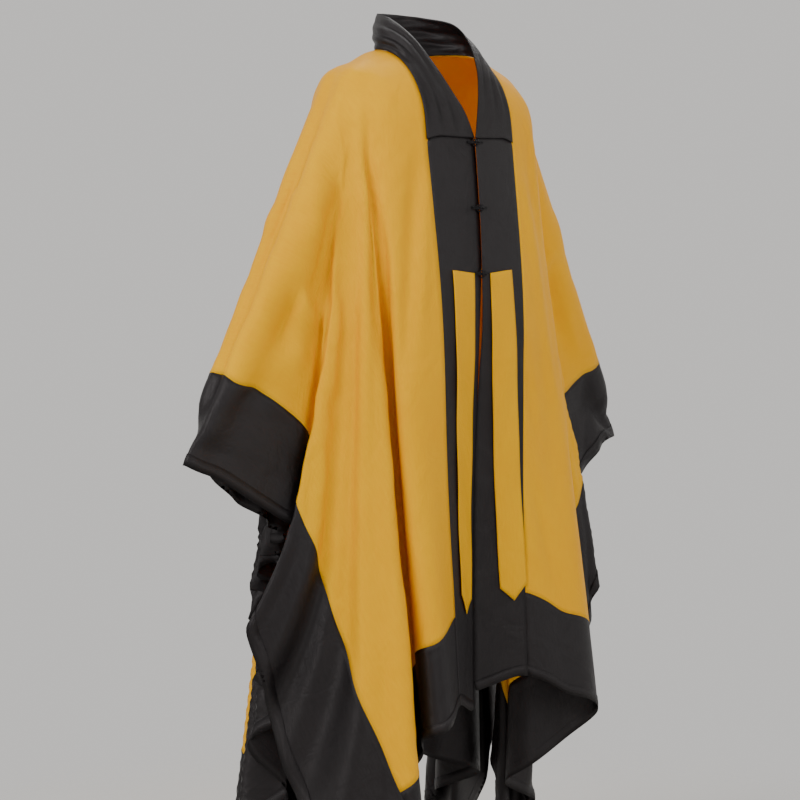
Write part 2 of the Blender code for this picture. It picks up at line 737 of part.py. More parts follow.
def make_button(number, down, material, group):
    """Knot button: a ball on a stem on the right front, held by a cord loop on the left front."""
    places = [over_cloth(across, down, height) for across, height, _ in KNOT_SECTIONS]
    radii = [radius for _, _, radius in KNOT_SECTIONS]
    make_tube(f"button_{number}", places, radii, Vector((0, 0, 1)), material, group)
    loop = []
    for k in range(LOOP_STEPS + 1):
        angle = math.pi * (k / LOOP_STEPS - 0.5)
        loop.append((LOOP_RADIUS * math.cos(angle), LOOP_RADIUS * math.sin(angle)))
    loop += [(-LOOP_RADIUS, LOOP_NECK), (-LOOP_TAIL + LOOP_END, LOOP_END)]
    loop += [(-LOOP_TAIL, 0.0), (-LOOP_TAIL + LOOP_END, -LOOP_END), (-LOOP_RADIUS, -LOOP_NECK)]
    places = [over_cloth(across, down + offset, LOOP_HEIGHT) for across, offset in loop]
    outwards = cloth_normal(RIGHT, 0.0, down)
    make_tube(f"loop_{number}", places, [LOOP_CORD] * len(places), outwards, material, group, closed=True)


def main():
    """Builds every piece of the robe."""
    for item in list(bpy.data.objects):
        bpy.data.objects.remove(item)
    group = new_collection("taoist_robe")
    yellow = new_material("yellow_cloth", (0.95, 0.42, 0.02), 0.5)
    black = new_material("black_cloth", (0.02, 0.018, 0.022), 0.55)
    cord = new_material("black_cord", (0.012, 0.012, 0.014), 0.7)
    for side, word in ((RIGHT, "right"), (LEFT, "left")):
        make_body(side, f"body_{word}", yellow, group)
        make_side_border(side, f"side_border_{word}", black, group)
        make_hem(side, 1, f"hem_front_{word}", black, group)
        make_hem(side, -1, f"hem_back_{word}", black, group)
        make_band(side, f"front_band_{word}", black, group)
        make_ribbon(side, f"ribbon_{word}", yellow, group)
    make_collar("collar", black, group)
    for number in range(BUTTON_COUNT):
        make_button(number + 1, BUTTON_TOP + BUTTON_PITCH * number, cord, group)


main()
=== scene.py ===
"""Looks of a wide yellow and black ceremonial robe in its worn form.

The robe's cloth is laid out flat, put on over a plain figure as the frame's solids lie, and left to settle
in a short cloth simulation. It is then cut in its sewn pieces. Sizes are in centimetres up to the meshes.
"""
import math

import bisect
import bmesh
import bpy
import numpy as np
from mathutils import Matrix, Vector


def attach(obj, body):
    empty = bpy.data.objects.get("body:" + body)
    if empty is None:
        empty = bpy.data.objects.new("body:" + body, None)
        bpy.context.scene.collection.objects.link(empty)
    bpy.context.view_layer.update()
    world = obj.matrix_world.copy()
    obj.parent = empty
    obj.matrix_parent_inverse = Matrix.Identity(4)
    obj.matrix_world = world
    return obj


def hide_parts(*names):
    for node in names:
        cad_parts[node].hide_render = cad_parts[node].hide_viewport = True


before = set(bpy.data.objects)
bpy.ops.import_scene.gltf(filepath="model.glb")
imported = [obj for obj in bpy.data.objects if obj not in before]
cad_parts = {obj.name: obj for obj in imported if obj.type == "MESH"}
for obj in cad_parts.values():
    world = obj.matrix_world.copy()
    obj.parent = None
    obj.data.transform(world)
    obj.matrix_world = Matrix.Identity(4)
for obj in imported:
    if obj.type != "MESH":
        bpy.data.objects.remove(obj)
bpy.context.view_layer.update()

CM = 0.01
RIGHT, LEFT = -1, 1
SIDES = ((RIGHT, "right"), (LEFT, "left"))

# Flat cut of the robe, as in the frame's solids.
HALF_WIDTH = 96.0
LENGTH = 128.0
BORDER = 16.5
BAND = 11.0
SIDE_SEAM = HALF_WIDTH - BORDER
HEM_SEAM = LENGTH - BORDER
COLLAR_SEAM = 23.3
BACK_NECK_DROP = 6.0

# The figure under it, and how the cloth leaves the shoulder.
NECK_SIDE = 8.0
SHOULDER_OUT = 20.5
SHOULDER_DROP = 5.0
SHOULDER_SLOPE = 1.3
ARM_DROP = {RIGHT: 62.0, LEFT: 63.0}
ELBOW_DIP = 2.0
ELBOW_FADE = 25.0
CURTAIN_LEAN = 7.0
# The fold tables' low columns hold this far down, and the fan under the arm takes up so much of them.
LEVEL = 100.0
SECTOR = 123.0
ROLLS = ((0.0, 12.5), (BAND, 12.5), (SHOULDER_OUT, 8.5), (32.0, 6.0), (HALF_WIDTH, 5.0))
FRONT_FOLDS = (
    # along, top_depth, low_out, low_depth
    (0.0, 12.5, 0.0, 13.0),
    (11.0, 12.0, 9.5, 17.5),
    (19.0, 9.0, 16.3, 20.6),
    (23.5, 8.4, 18.9, 18.8),
    (28.0, 8.3, 18.2, 15.8),
    (34.0, 8.1, 14.2, 12.4),
    (40.0, 7.9, 13.8, 9.2),
    (46.0, 7.8, 17.0, 8.2),
    (52.5, 7.6, 19.8, 11.0),
    (59.0, 7.4, 19.9, 15.4),
    (66.0, 7.2, 21.2, 19.0),
    (73.0, 7.0, 26.0, 18.2),
    (82.0, 6.8, 29.0, 13.2),
    (90.0, 6.6, 29.6, 8.6),
    (97.0, 6.3, 32.4, 7.0),
    (104.0, 6.0, 36.6, 7.2),
    (111.0, 5.7, 40.0, 5.6),
    (119.0, 5.6, 37.8, 4.8),
    (127.0, 5.4, 35.6, 4.1),
    (135.0, 5.3, 34.8, 3.7),
    (143.5, 5.3, 36.0, 3.4),
)
LEFT_FRONT_FOLDS = (
    # along, top_depth, low_out, low_depth
    (0.0, 12.5, 0.0, 13.0),
    (11.0, 12.0, 9.5, 15.8),
    (19.0, 9.0, 16.8, 18.0),
    (26.0, 8.4, 23.0, 18.6),
    (31.5, 8.2, 26.6, 16.4),
    (37.5, 8.0, 24.2, 12.4),
    (44.0, 7.8, 18.6, 10.4),
    (50.0, 7.6, 17.4, 6.0),
    (56.0, 7.4, 21.8, 5.0),
    (62.0, 7.3, 26.2, 4.4),
    (67.0, 7.2, 25.6, 2.8),
    (73.0, 7.0, 21.6, 2.4),
    (80.0, 6.8, 20.2, 0.8),
    (88.0, 6.6, 25.2, 0.2),
    (96.0, 6.5, 31.4, 4.0),
    (104.0, 6.5, 36.4, 9.4),
    (111.0, 6.2, 39.4, 9.4),
    (119.0, 5.8, 37.6, 7.4),
    (127.0, 5.6, 35.6, 6.0),
    (135.0, 5.5, 34.6, 4.9),
    (143.5, 5.4, 36.0, 4.0),
)
BACK_FOLDS = (
    # along, top_depth, low_out, low_depth
    (0.0, 10.5, 0.0, 17.0),
    (7.0, 10.5, 6.5, 13.5),
    (14.0, 9.5, 12.5, 16.2),
    (19.5, 8.2, 16.6, 18.4),
    (24.0, 8.0, 18.0, 16.2),
    (31.0, 7.8, 12.8, 12.0),
    (37.5, 7.6, 12.6, 7.0),
    (44.0, 7.4, 18.0, 4.2),
    (51.0, 7.2, 22.4, 6.8),
    (58.0, 7.0, 20.4, 12.0),
    (66.0, 6.8, 21.6, 16.8),
    (74.0, 6.6, 24.6, 13.4),
    (83.0, 6.4, 27.4, 9.0),
    (91.0, 6.2, 28.6, 7.0),
    (98.0, 6.1, 29.8, 6.4),
    (105.0, 6.0, 31.6, 6.8),
    (111.0, 5.8, 33.4, 6.4),
    (119.0, 5.6, 33.4, 5.4),
    (127.0, 5.4, 32.8, 4.8),
    (135.0, 5.3, 32.9, 4.3),
    (143.5, 5.3, 34.6, 3.7),
)
# All three tables go on with these rows out to the end of the arm.
ARM_FOLDS = (
    (152.4, 5.3, 41.3, 3.0),
    (161.3, 5.3, 49.7, 2.1),
    (170.2, 5.3, 58.0, 1.1),
    (180.9, 5.3, 67.4, 0.0),
    (200.0, 5.3, 83.0, -2.0),
)
ROUND_NEAR, ROUND_FAR, FOLD_FULL = 20.0, 2.0, 60.0
SLIT = ((0.0, 0.0), (48.0, 0.0), (58.0, 0.3), (72.0, 0.0), (128.0, 0.0))
FRONT_LIFT = 9.0
LIFT_START = 14.0
LIFT_MIDDLE = 24.0
LIFT_SPREAD = 22.0
LEFT_LIFT = 3.5
LEFT_START = 50.0
LEFT_SPREAD = 30.0
# Each front's folds deepen at its power of the way down, and the left one's are its own from LEFT_BLEND out.
RIGHT_POWER, LEFT_POWER = 1.35, 1.25
LEFT_BLEND = 19.0
# The belt line stands this much further forward, at that distance down, over these spreads.
BELLY, BELLY_DOWN, BELLY_SPREAD, BELLY_REACH = 2.0, 52.0, 28.0, 24.0
# The right front's side border turns back from WRAP_START on: how far its edge goes, by its height.
WRAP_START = 77.0
WRAP_POWER = 1.5
WRAP_OUT = 0.25
WRAPS = ((0.0, 0.0), (38.0, 0.0), (50.0, 5.0), (60.0, 8.0), (84.0, 11.0), (110.0, 10.5), (130.0, 9.5))
COLLAR_SECTIONS = (
    # seam_across, seam_down, edge_out, edge_forward, edge_up, swell
    (11.0, 18.0, 1.6, 12.6, -12.0, 0.1),
    (11.0, 13.0, 3.5, 11.0, -8.0, 0.3),
    (11.0, 8.0, 5.4, 8.8, -3.6, 0.6),
    (11.0, 4.0, 7.0, 5.2, 1.2, 0.9),
    (11.0, 0.0, 7.8, 0.6, 4.6, 1.0),
    (7.4, -4.44, 5.8, -4.8, 6.0, 0.9),
    (3.7, -5.65, 3.0, -6.9, 6.4, 0.7),
    (0.0, -6.0, 0.0, -7.6, 6.5, 0.7),
)
BUTTON_TOP = 24.6
BUTTON_PITCH = 11.8
BUTTON_COUNT = 3
RIBBON_TOP = 48.2
RIBBON_LENGTH = 60.0
RIBBON_HALF = 2.9
RIBBON_POINT = 3.0
# Middle of each ribbon, measured from the centre line: at its top and at its tip.
RIBBON_PLACE = {RIGHT: (4.9, 4.4), LEFT: (4.9, 8.4)}
# Length of the pulled-up band that each centimetre of ribbon lies over.
RIBBON_SPAN = {RIGHT: 1.04, LEFT: 1.08}

# Cells of the simulated cloth between its seams.
BAND_CELLS = 5
PANEL_CELLS = 31
BORDER_CELLS = 8
COLLAR_CELLS = 10
DROP_CELLS = 40
HEM_CELLS = 8

SETTLE_FRAMES = 30
# How firmly the cloth keeps to the form it starts in.
HOLD = 0.35
HOLD_STIFFNESS = 10.0
# Share of gravity that acts on the cloth, and how stiff it is against stretching.
GRAVITY = 0.4
STRETCH = 150.0

# The cloth that hangs under each arm starts in fine folds that spread from the shoulder point. They come
# in, are full, begin to fade and are gone at these places along the fan.
PLEAT_FROM, PLEAT_FULL, PLEAT_END, PLEAT_GONE = 52.0, 72.0, 140.0, 172.0
PLEAT_LENGTH = 11.0
PLEAT_DEPTH = {RIGHT: 0.9, LEFT: 1.8}
BACK_PLEAT_DEPTH = 3.7
NORMAL_STEP = 0.6

# Soft folds of the fronts, along straight lines of the flat cut.
SOFT_FOLDS = (
    # side, start_across, start_down, end_across, end_down, half_width, height
    (RIGHT, 18.5, 3.0, 58.5, 63.0, 2.0, -0.90),
    (RIGHT, 20.0, 6.0, 44.0, 50.0, 1.8, 0.80),
    (RIGHT, 12.5, 20.0, 21.5, 66.0, 1.7, 0.90),
    (RIGHT, 11.5, 26.0, 17.5, 62.0, 1.3, -0.60),
    (RIGHT, 32.0, 4.0, 80.0, 18.0, 3.5, -1.50),
    (RIGHT, 28.0, 4.0, 60.0, 14.0, 2.5, 0.80),
    (LEFT, 13.0, 24.0, 22.5, 74.5, 1.7, -0.65),
    (LEFT, 16.0, 14.0, 19.0, 42.0, 1.4, 0.50),
    (LEFT, 11.0, 59.5, 15.5, 85.0, 1.4, 0.50),
    (LEFT, 12.5, 82.5, 20.0, 111.0, 1.9, 0.60),
)
SOFT_FADE = 14.0
# Depth of the dip along a sewn seam, and how near to a line a point counts as on it.
SEAM_DIP = 0.07
NEAR_LINE = 0.1

# Thickness of one layer of the cloth, the width of the turned-up hem, and how far inside it lies in layers.
LAYER = 0.05
TURN_UP = 2.0
TURN_UP_LAYERS = 2.2
# The hem's stitches: their line from the edge, how many there are to a fine cell, the gap left at both
# ends of each, and their thread.
STITCH_LINE = 2.06
STITCHES_IN_CELL = 3
STITCH_GAP = 0.18
THREAD_RADIUS = 0.03
# The right front laps over the left one and stands over it by these amounts, out to LAP_REACH from the
# centre. Both fade out over LAP_FADE, down to LAP_END.
LAP, LAP_RISE, LAP_REACH = 0.35, 0.16, 1.5
LAP_FADE, LAP_END = 4.0, 50.0


def curve(rows, key, column):
    """Smooth curve through one column of a table, read at key. Column 0 is the key of each row."""
    last = len(rows) - 1
    if key >= rows[last][0]:
        return rows[last][column]
    at = 0
    while rows[at + 1][0] < key:
        at += 1

    def slope(place):
        low, high = max(place - 1, 0), min(place + 1, last)
        return (rows[high][column] - rows[low][column]) / (rows[high][0] - rows[low][0])

    span = rows[at + 1][0] - rows[at][0]
    u = (key - rows[at][0]) / span
    start, end = rows[at][column], rows[at + 1][column]
    return (
        (2 * u ** 3 - 3 * u ** 2 + 1) * start
        + (u ** 3 - 2 * u ** 2 + u) * slope(at) * span
        + (3 * u ** 2 - 2 * u ** 3) * end
        + (u ** 3 - u ** 2) * slope(at + 1) * span
    )


class Folds:
    """A fold table that gives its columns averaged over a stretch of the cloth."""

    STEP = 0.5
    REACH = 24.0

    def __init__(self, rows):
        count = round((rows[-1][0] + 2 * self.REACH) / self.STEP)
        self.sums = [(0.0, 0.0, 0.0)]
        for k in range(count):
            key = (k + 0.5) * self.STEP - self.REACH
            depth_top, out, depth = (curve(rows, abs(key), column) for column in (1, 2, 3))
            row = (depth_top, out if key > 0 else -out, depth)
            self.sums.append(tuple(total + value * self.STEP for total, value in zip(self.sums[-1], row)))

    def sum_at(self, key):
        place = min(max((key + self.REACH) / self.STEP, 0.0), len(self.sums) - 1.001)
        at = int(place)
        return [low + (high - low) * (place - at) for low, high in zip(self.sums[at], self.sums[at + 1])]

    def around(self, key, window):
        """Average of each column within the window either side of key."""
        low, high = self.sum_at(key - window), self.sum_at(key + window)
        return [(b - a) / (2 * window) for a, b in zip(low, high)]


FRONT = Folds(FRONT_FOLDS + ARM_FOLDS)
LEFT_FRONT = Folds(LEFT_FRONT_FOLDS + ARM_FOLDS)
BACK = Folds(BACK_FOLDS + ARM_FOLDS)


def between(rows, key):
    """Straight interpolation in rows of (key, value)."""
    for (near, near_value), (far, far_value) in zip(rows, rows[1:]):
        if key <= far:
            return near_value + (far_value - near_value) * (key - near) / (far - near)
    return rows[-1][1]


def ridge_height(across):
    """Height of the shoulder line between the neck and the shoulder point."""
    if across <= NECK_SIDE:
        return 0.0
    return -SHOULDER_DROP * ((across - NECK_SIDE) / (SHOULDER_OUT - NECK_SIDE)) ** SHOULDER_SLOPE


def fall_of(across, length):
    """How far a thread of that length has come down, after bending over the roll."""
    radius = between(ROLLS, across)
    turn = min(length / radius, math.pi / 2)
    return radius * (1 - math.cos(turn)) + max(length - radius * math.pi / 2, 0.0)


def front_lift(side, across, down):
    """How far the front is pulled up at a point of the flat cut."""
    lowered = max(down - LIFT_START, 0.0) / (LENGTH - LIFT_START)
    lift = FRONT_LIFT * lowered * math.exp(-(((across - LIFT_MIDDLE) / LIFT_SPREAD) ** 2))
    if side == LEFT:
        lowered = max(down - LEFT_START, 0.0) / (LENGTH - LEFT_START)
        lift += LEFT_LIFT * lowered * math.exp(-((across / LEFT_SPREAD) ** 2))
    return lift


def hang(folds, power, along, window, share):
    """How far out a thread of the cloth aims, how deep it has got to, and how much it deepens in all."""
    top_depth, low_out, low_depth = folds.around(along, window)
    deepened = min(share ** power, share)
    return Vector((low_out, top_depth + (low_depth - top_depth) * deepened, low_depth - top_depth))


def cloth_point(side, across, down):
    """Place on the worn robe of a point of the flat cut: down is positive in front, negative behind."""
    if across < 0:
        mirrored = cloth_point(side, -across, down)
        return Vector((-mirrored.x, mirrored.y, mirrored.z))
    forward = -1.0 if down >= 0 else 1.0
    length = abs(down)
    fall = fall_of(across, length)
    bulge = math.sin(min(length / between(ROLLS, across), math.pi / 2))
    if across <= SHOULDER_OUT:
        along, reach = across, fall
        start_out, start_up = across, ridge_height(across)
    else:
        reach, along = fan_place(side, across, down)
        start_out, start_up = SHOULDER_OUT, -SHOULDER_DROP
    window = ROUND_FAR + (ROUND_NEAR - ROUND_FAR) * max(1 - reach / FOLD_FULL, 0.0)
    share = reach / LEVEL
    power = RIGHT_POWER if side == RIGHT and down >= 0 else 1.0
    low_out, depth, deepening = hang(FRONT if down >= 0 else BACK, power, along, window, share)
    if side == LEFT and down >= 0:
        own = min(along / LEFT_BLEND, 1.0) ** 2
        left_hang = hang(LEFT_FRONT, LEFT_POWER, along, window, share)
        low_out, depth, deepening = Vector((low_out, depth, deepening)).lerp(left_hang, own)
    out = start_out + (low_out - start_out) * share
    if side == RIGHT and down >= 0 and across > WRAP_START:
        wrap = between(WRAPS, fall) * ((across - WRAP_START) / (HALF_WIDTH - WRAP_START)) ** WRAP_POWER
        out += WRAP_OUT * wrap
        depth -= (1 - WRAP_OUT) * wrap
    if down > 0:
        depth += BELLY * math.exp(-(((down - BELLY_DOWN) / BELLY_SPREAD) ** 2) - (across / BELLY_REACH) ** 2)
    slant = math.hypot(low_out - start_out, deepening) / LEVEL
    up = start_up - reach * math.sqrt(1 - slant ** 2) + front_lift(side, across, down)
    if across > SHOULDER_OUT:
        arm_share = (across - SHOULDER_OUT) / (HALF_WIDTH - SHOULDER_OUT)
        out -= ELBOW_DIP * math.sin(math.pi * arm_share) * math.exp(-length / ELBOW_FADE)
    return Vector((side * out, forward * bulge * depth, up))


def fan_place(side, across, down):
    """Distance from the shoulder point of a flat point beyond it, and its place along the fan of folds."""
    fall = fall_of(across, abs(down))
    heading = math.degrees(math.atan2(across - SHOULDER_OUT, fall))
    along = SHOULDER_OUT + SECTOR * heading / (ARM_DROP[side] + CURTAIN_LEAN)
    return math.hypot(across - SHOULDER_OUT, fall), along


def cloth_normal(side, across, down):
    """Direction out of the robe at a point of the flat cut."""
    step = NORMAL_STEP
    along = cloth_point(side, across + step, down) - cloth_point(side, across - step, down)
    drop = cloth_point(side, across, down + step) - cloth_point(side, across, down - step)
    return (drop.cross(along) * side).normalized()


def pleated_point(side, across, down):
    """Place on the worn robe of a flat point, with the start of the fine folds under the arm."""
    place = cloth_point(side, across, down)
    if across <= SHOULDER_OUT:
        return place
    reach, along = fan_place(side, across, down)
    coming = (along - PLEAT_FROM) / (PLEAT_FULL - PLEAT_FROM)
    going = (PLEAT_GONE - along) / (PLEAT_GONE - PLEAT_END)
    full = PLEAT_DEPTH[side] if down >= 0 else BACK_PLEAT_DEPTH
    depth = full * min(max(min(coming, going), 0.0), 1.0) * reach / LEVEL
    if depth == 0.0:
        return place
    return place + cloth_normal(side, across, down) * depth * math.sin(2 * math.pi * along / PLEAT_LENGTH)


def steps(start, end, count):
    """Even steps from start up to end, without the start."""
    return [start + (end - start) * k / count for k in range(1, count + 1)]


ACROSS = [0.0] + steps(0, BAND, BAND_CELLS) + steps(BAND, SIDE_SEAM, PANEL_CELLS)
ACROSS += steps(SIDE_SEAM, HALF_WIDTH, BORDER_CELLS)
DOWN = steps(0, COLLAR_SEAM, COLLAR_CELLS) + steps(COLLAR_SEAM, HEM_SEAM, DROP_CELLS)
DOWN += steps(HEM_SEAM, LENGTH, HEM_CELLS)
SEAM_COLUMN = BAND_CELLS + PANEL_CELLS
HEM_ROW = COLLAR_CELLS + DROP_CELLS


def flat_place(i, j):
    """Flat point of grid line i out from the centre and row j down from the shoulder line."""
    across = ACROSS[i]
    down = math.copysign(DOWN[abs(j) - 1], j) if j else 0.0
    if i < BAND_CELLS and j <= 0:
        drop = BACK_NECK_DROP * math.sqrt(1 - (across / BAND) ** 2)
        down = -max(drop + (HEM_SEAM - drop) * -down / HEM_SEAM, -down)
    return across, down


def piece_of(i, j, word):
    """Name of the sewn piece that the cell over grid line i and row j belongs to, or None."""
    front = j >= 0
    row = j if front else -j - 1
    if i >= SEAM_COLUMN:
        return "side_border_" + word
    if front and i < BAND_CELLS:
        return None if row < COLLAR_CELLS else "front_band_" + word
    if row >= HEM_ROW:
        return ("hem_front_" if front else "hem_back_") + word
    return "body_" + word


class RobeCloth:
    """The whole robe as one sheet: flat places, worn places, cells and the piece of each cell."""

    def __init__(self):
        self.keys = {}
        self.flat = []
        self.worn = []
        self.cells = []
        self.pieces = []
        rows = HEM_ROW + HEM_CELLS
        for side, word in SIDES:
            for i in range(len(ACROSS) - 1):
                for j in range(-rows, rows):
                    piece = piece_of(i, j, word)
                    if piece is None:
                        continue
                    cell = [self.corner(side, i + a, j + b) for a, b in ((0, 0), (0, 1), (1, 1), (1, 0))]
                    self.cells.append(cell if side == RIGHT else cell[::-1])
                    self.pieces.append(piece)

    @staticmethod
    def key(side, i, j):
        behind = j < 0 or (j == 0 and i < BAND_CELLS)
        return (0 if i == 0 and behind else side, i, j)

    def corner(self, side, i, j):
        key = self.key(side, i, j)
        if key not in self.keys:
            across, down = flat_place(i, j)
            self.keys[key] = len(self.flat)
            if i == 0 and key[0]:
                across = between(SLIT, down)
            self.flat.append((side * across, down))
            self.worn.append(pleated_point(side, across, down) * CM)
        return self.keys[key]

    def place(self, side, across, down):
        """Place on the settled cloth of a flat point, in centimetres."""
        rows = [0.0] + DOWN
        i = min(max(bisect.bisect_right(ACROSS, across) - 1, 0), len(ACROSS) - 2)
        j = min(max(bisect.bisect_right(rows, abs(down)) - 1, 0), len(rows) - 2)
        u = (across - ACROSS[i]) / (ACROSS[i + 1] - ACROSS[i])
        v = (abs(down) - rows[j]) / (rows[j + 1] - rows[j])
        forward = 1 if down >= 0 else -1
        found = Vector((0, 0, 0))
        for a, weight in ((0, 1 - u), (1, u)):
            for b, share in ((0, 1 - v), (1, v)):
                number = self.keys[self.key(side, i + a, forward * (j + b))]
                found += Vector(self.settled[number]) * (weight * share / CM)
        return found

    def normal(self, side, across, down, step=1.0):
        """Direction out of the robe at a flat point of the settled cloth."""
        across = min(across, HALF_WIDTH - step)
        along = self.place(side, across + step, down) - self.place(side, max(across - step, 0), down)
        low, high = min(down + step, LENGTH), max(down - step, -LENGTH)
        if across < BAND + step and down > 0:
            high = max(high, COLLAR_SEAM)
        drop = self.place(side, across, low) - self.place(side, across, high)
        return (drop.cross(along) * side).normalized()

    def over(self, side, across, down, height):
        """Place at a height over the settled cloth, in centimetres."""
        return self.place(side, across, down) + self.normal(side, across, down) * height


def add_object(name, data):
    made = bpy.data.objects.new(name, data)
    bpy.context.scene.collection.objects.link(made)
    return made


def new_mesh(name, places, cells):
    mesh = bpy.data.meshes.new(name)
    mesh.from_pydata([tuple(p) for p in places], [], cells)
    mesh.validate()
    mesh.update()
    return add_object(name, mesh)


def from_bmesh(name, mesh):
    """Adds the form built in a bmesh, with its faces turned out."""
    bmesh.ops.recalc_face_normals(mesh, faces=mesh.faces)
    data = bpy.data.meshes.new(name)
    mesh.to_mesh(data)
    mesh.free()
    return add_object(name, data)


def read(rows, name, width, kind=np.float32):
    """One property of all the rows of a mesh, as an array of that width."""
    values = np.zeros(width * len(rows), kind)
    rows.foreach_get(name, values)
    return values.reshape(-1, width)


def skin(mesh, pairs):
    """Adds the faces between pairs of rings of corners."""
    for low, high in pairs:
        for k in range(len(low)):
            nxt = (k + 1) % len(low)
            mesh.faces.new((low[k], low[nxt], high[nxt], high[k]))


def loft(name, sections, sides=20):
    """Closed form through ellipses (centre, half width along x, half width along y, turn of its plane)."""
    mesh = bmesh.new()
    rings = []
    for centre, wide, deep, turn in sections:
        ring = []
        for k in range(sides):
            angle = 2 * math.pi * k / sides
            flat = wide * math.cos(angle)
            offset = Vector((flat * math.cos(turn), deep * math.sin(angle), flat * math.sin(turn)))
            ring.append(mesh.verts.new((Vector(centre) + offset) * CM))
        rings.append(ring)
    skin(mesh, zip(rings, rings[1:]))
    mesh.faces.new(rings[0])
    mesh.faces.new(rings[-1])
    return from_bmesh(name, mesh)


# The plain figure that carries the cloth while it settles: height, forward, half width, half depth.
FIGURE_SECTIONS = (
    (-1.5, 0.5, 9.0, 6.5),
    (-5.0, 0.0, 16.0, 8.0),
    (-9.0, -0.5, 18.5, 9.5),
    (-20.0, -1.0, 16.5, 11.0),
    (-28.0, -1.0, 15.5, 11.0),
    (-40.0, -1.0, 13.0, 9.5),
    (-50.0, 0.0, 13.0, 10.0),
    (-75.0, 0.0, 12.0, 9.5),
    (-100.0, 0.0, 10.5, 8.0),
    (-135.0, 0.0, 10.0, 7.0),
)
# Each arm, as distance from the shoulder point and radius.
ARM_SECTIONS = ((0.0, 5.6), (10.0, 5.0), (25.0, 4.2), (40.0, 3.4), (52.0, 2.8), (60.0, 2.4), (68.0, 1.2))


def add_figure():
    """Adds the colliding figure and returns its parts."""
    parts = [loft("figure", [((0, y, z), w, d, 0.0) for z, y, w, d in FIGURE_SECTIONS])]
    for side, word in SIDES:
        drop = math.radians(ARM_DROP[side])
        sections = []
        for reach, radius in ARM_SECTIONS:
            out = SHOULDER_OUT + reach * math.cos(drop) - radius * math.sin(drop)
            up = -SHOULDER_DROP - reach * math.sin(drop) - radius * math.cos(drop)
            sections.append(((side * out, 0.0, up), radius, radius, side * (math.pi / 2 - drop)))
        parts.append(loft("arm_" + word, sections))
    for part in parts:
        part.modifiers.new("collide", "COLLISION")
        part.collision.thickness_outer = 0.004
        part.collision.cloth_friction = 8.0
    return parts


def settle(robe, flat):
    """Lets the robe's cloth settle on the figure, and keeps the form it comes to."""
    robe.shape_key_add(name="worn")
    rest = robe.shape_key_add(name="flat")
    rest_places = np.zeros((len(flat), 3), np.float32)
    rest_places[:, [0, 2]] = np.array(flat) * CM
    rest.data.foreach_set("co", rest_places.ravel())
    rest.value = 0.0
    pinned = robe.vertex_groups.new(name="held")
    for k, (across, down) in enumerate(flat):
        across = abs(across)
        on_ridge = abs(down) < 1.0
        at_neck = across < BAND + NEAR_LINE and -BACK_NECK_DROP - 0.5 < down < COLLAR_SEAM + NEAR_LINE
        at_slit = across < 1.0 and down > COLLAR_SEAM
        pinned.add([k], 1.0 if on_ridge or at_neck or at_slit else HOLD, "REPLACE")
    figure = add_figure()
    cloth = robe.modifiers.new("cloth", "CLOTH")
    settings = cloth.settings
    settings.quality = 6
    settings.mass = 0.15
    settings.tension_stiffness = settings.compression_stiffness = STRETCH
    settings.shear_stiffness = 2.0
    settings.bending_stiffness = 0.15
    settings.tension_damping = settings.compression_damping = 5.0
    settings.shear_damping = 2.0
    settings.bending_damping = 0.5
    settings.air_damping = 2.0
    settings.vertex_group_mass = "held"
    settings.pin_stiffness = HOLD_STIFFNESS
    settings.effector_weights.gravity = GRAVITY
    settings.rest_shape_key = rest
    collide = cloth.collision_settings
    collide.distance_min = 0.004
    collide.use_self_collision = True
    collide.self_distance_min = 0.005
    collide.collision_quality = 2
    scene = bpy.context.scene
    scene.frame_start, scene.frame_end = 1, SETTLE_FRAMES
    cloth.point_cache.frame_start, cloth.point_cache.frame_end = 1, SETTLE_FRAMES
    for number in range(1, SETTLE_FRAMES + 1):
        scene.frame_set(number)
    shown = robe.evaluated_get(bpy.context.evaluated_depsgraph_get())
    places = read(shown.to_mesh().vertices, "co", 3)
    for part in figure:
        bpy.data.objects.remove(part)
    scene.frame_set(1)
    return places


def sewn_pieces(cloth, robe):
    """Cuts the settled cloth in its sewn pieces, smoothed, and returns their objects by name."""
    names = sorted(set(cloth.pieces))
    layer = robe.data.uv_layers.new(name="cut")
    loops = read(robe.data.loops, "vertex_index", 1, np.int32)[:, 0]
    layer.data.foreach_set("uv", (np.array(cloth.flat)[loops] * CM).astype(np.float32).ravel())
    mark = robe.data.attributes.new("piece", "INT", "FACE")
    mark.data.foreach_set("value", np.array([names.index(piece) for piece in cloth.pieces], np.int32))
    smooth = robe.modifiers.new("smooth", "SUBSURF")
    smooth.levels = smooth.render_levels = 1
    smooth.uv_smooth = "NONE"
    fine = bpy.data.meshes.new_from_object(robe.evaluated_get(bpy.context.evaluated_depsgraph_get()))
    corners = read(fine.loops, "vertex_index", 1, np.int32).reshape(-1, 4)
    places = read(fine.vertices, "co", 3)
    normals = read(fine.vertices, "normal", 3)
    uvs = read(fine.uv_layers["cut"].data, "uv", 2).reshape(-1, 4, 2)
    marks = read(fine.attributes["piece"].data, "value", 1, np.int32)[:, 0]
    flat = np.zeros((len(fine.vertices), 2))
    flat[corners] = uvs / CM
    places += normals * (relief(flat) * CM)[:, None]
    made = {}
    for number, name in enumerate(names):
        chosen = marks == number
        made[name] = sewn_piece(name, places, normals, corners[chosen], uvs[chosen])
    bpy.data.meshes.remove(fine)
    bpy.data.objects.remove(robe)
    return made


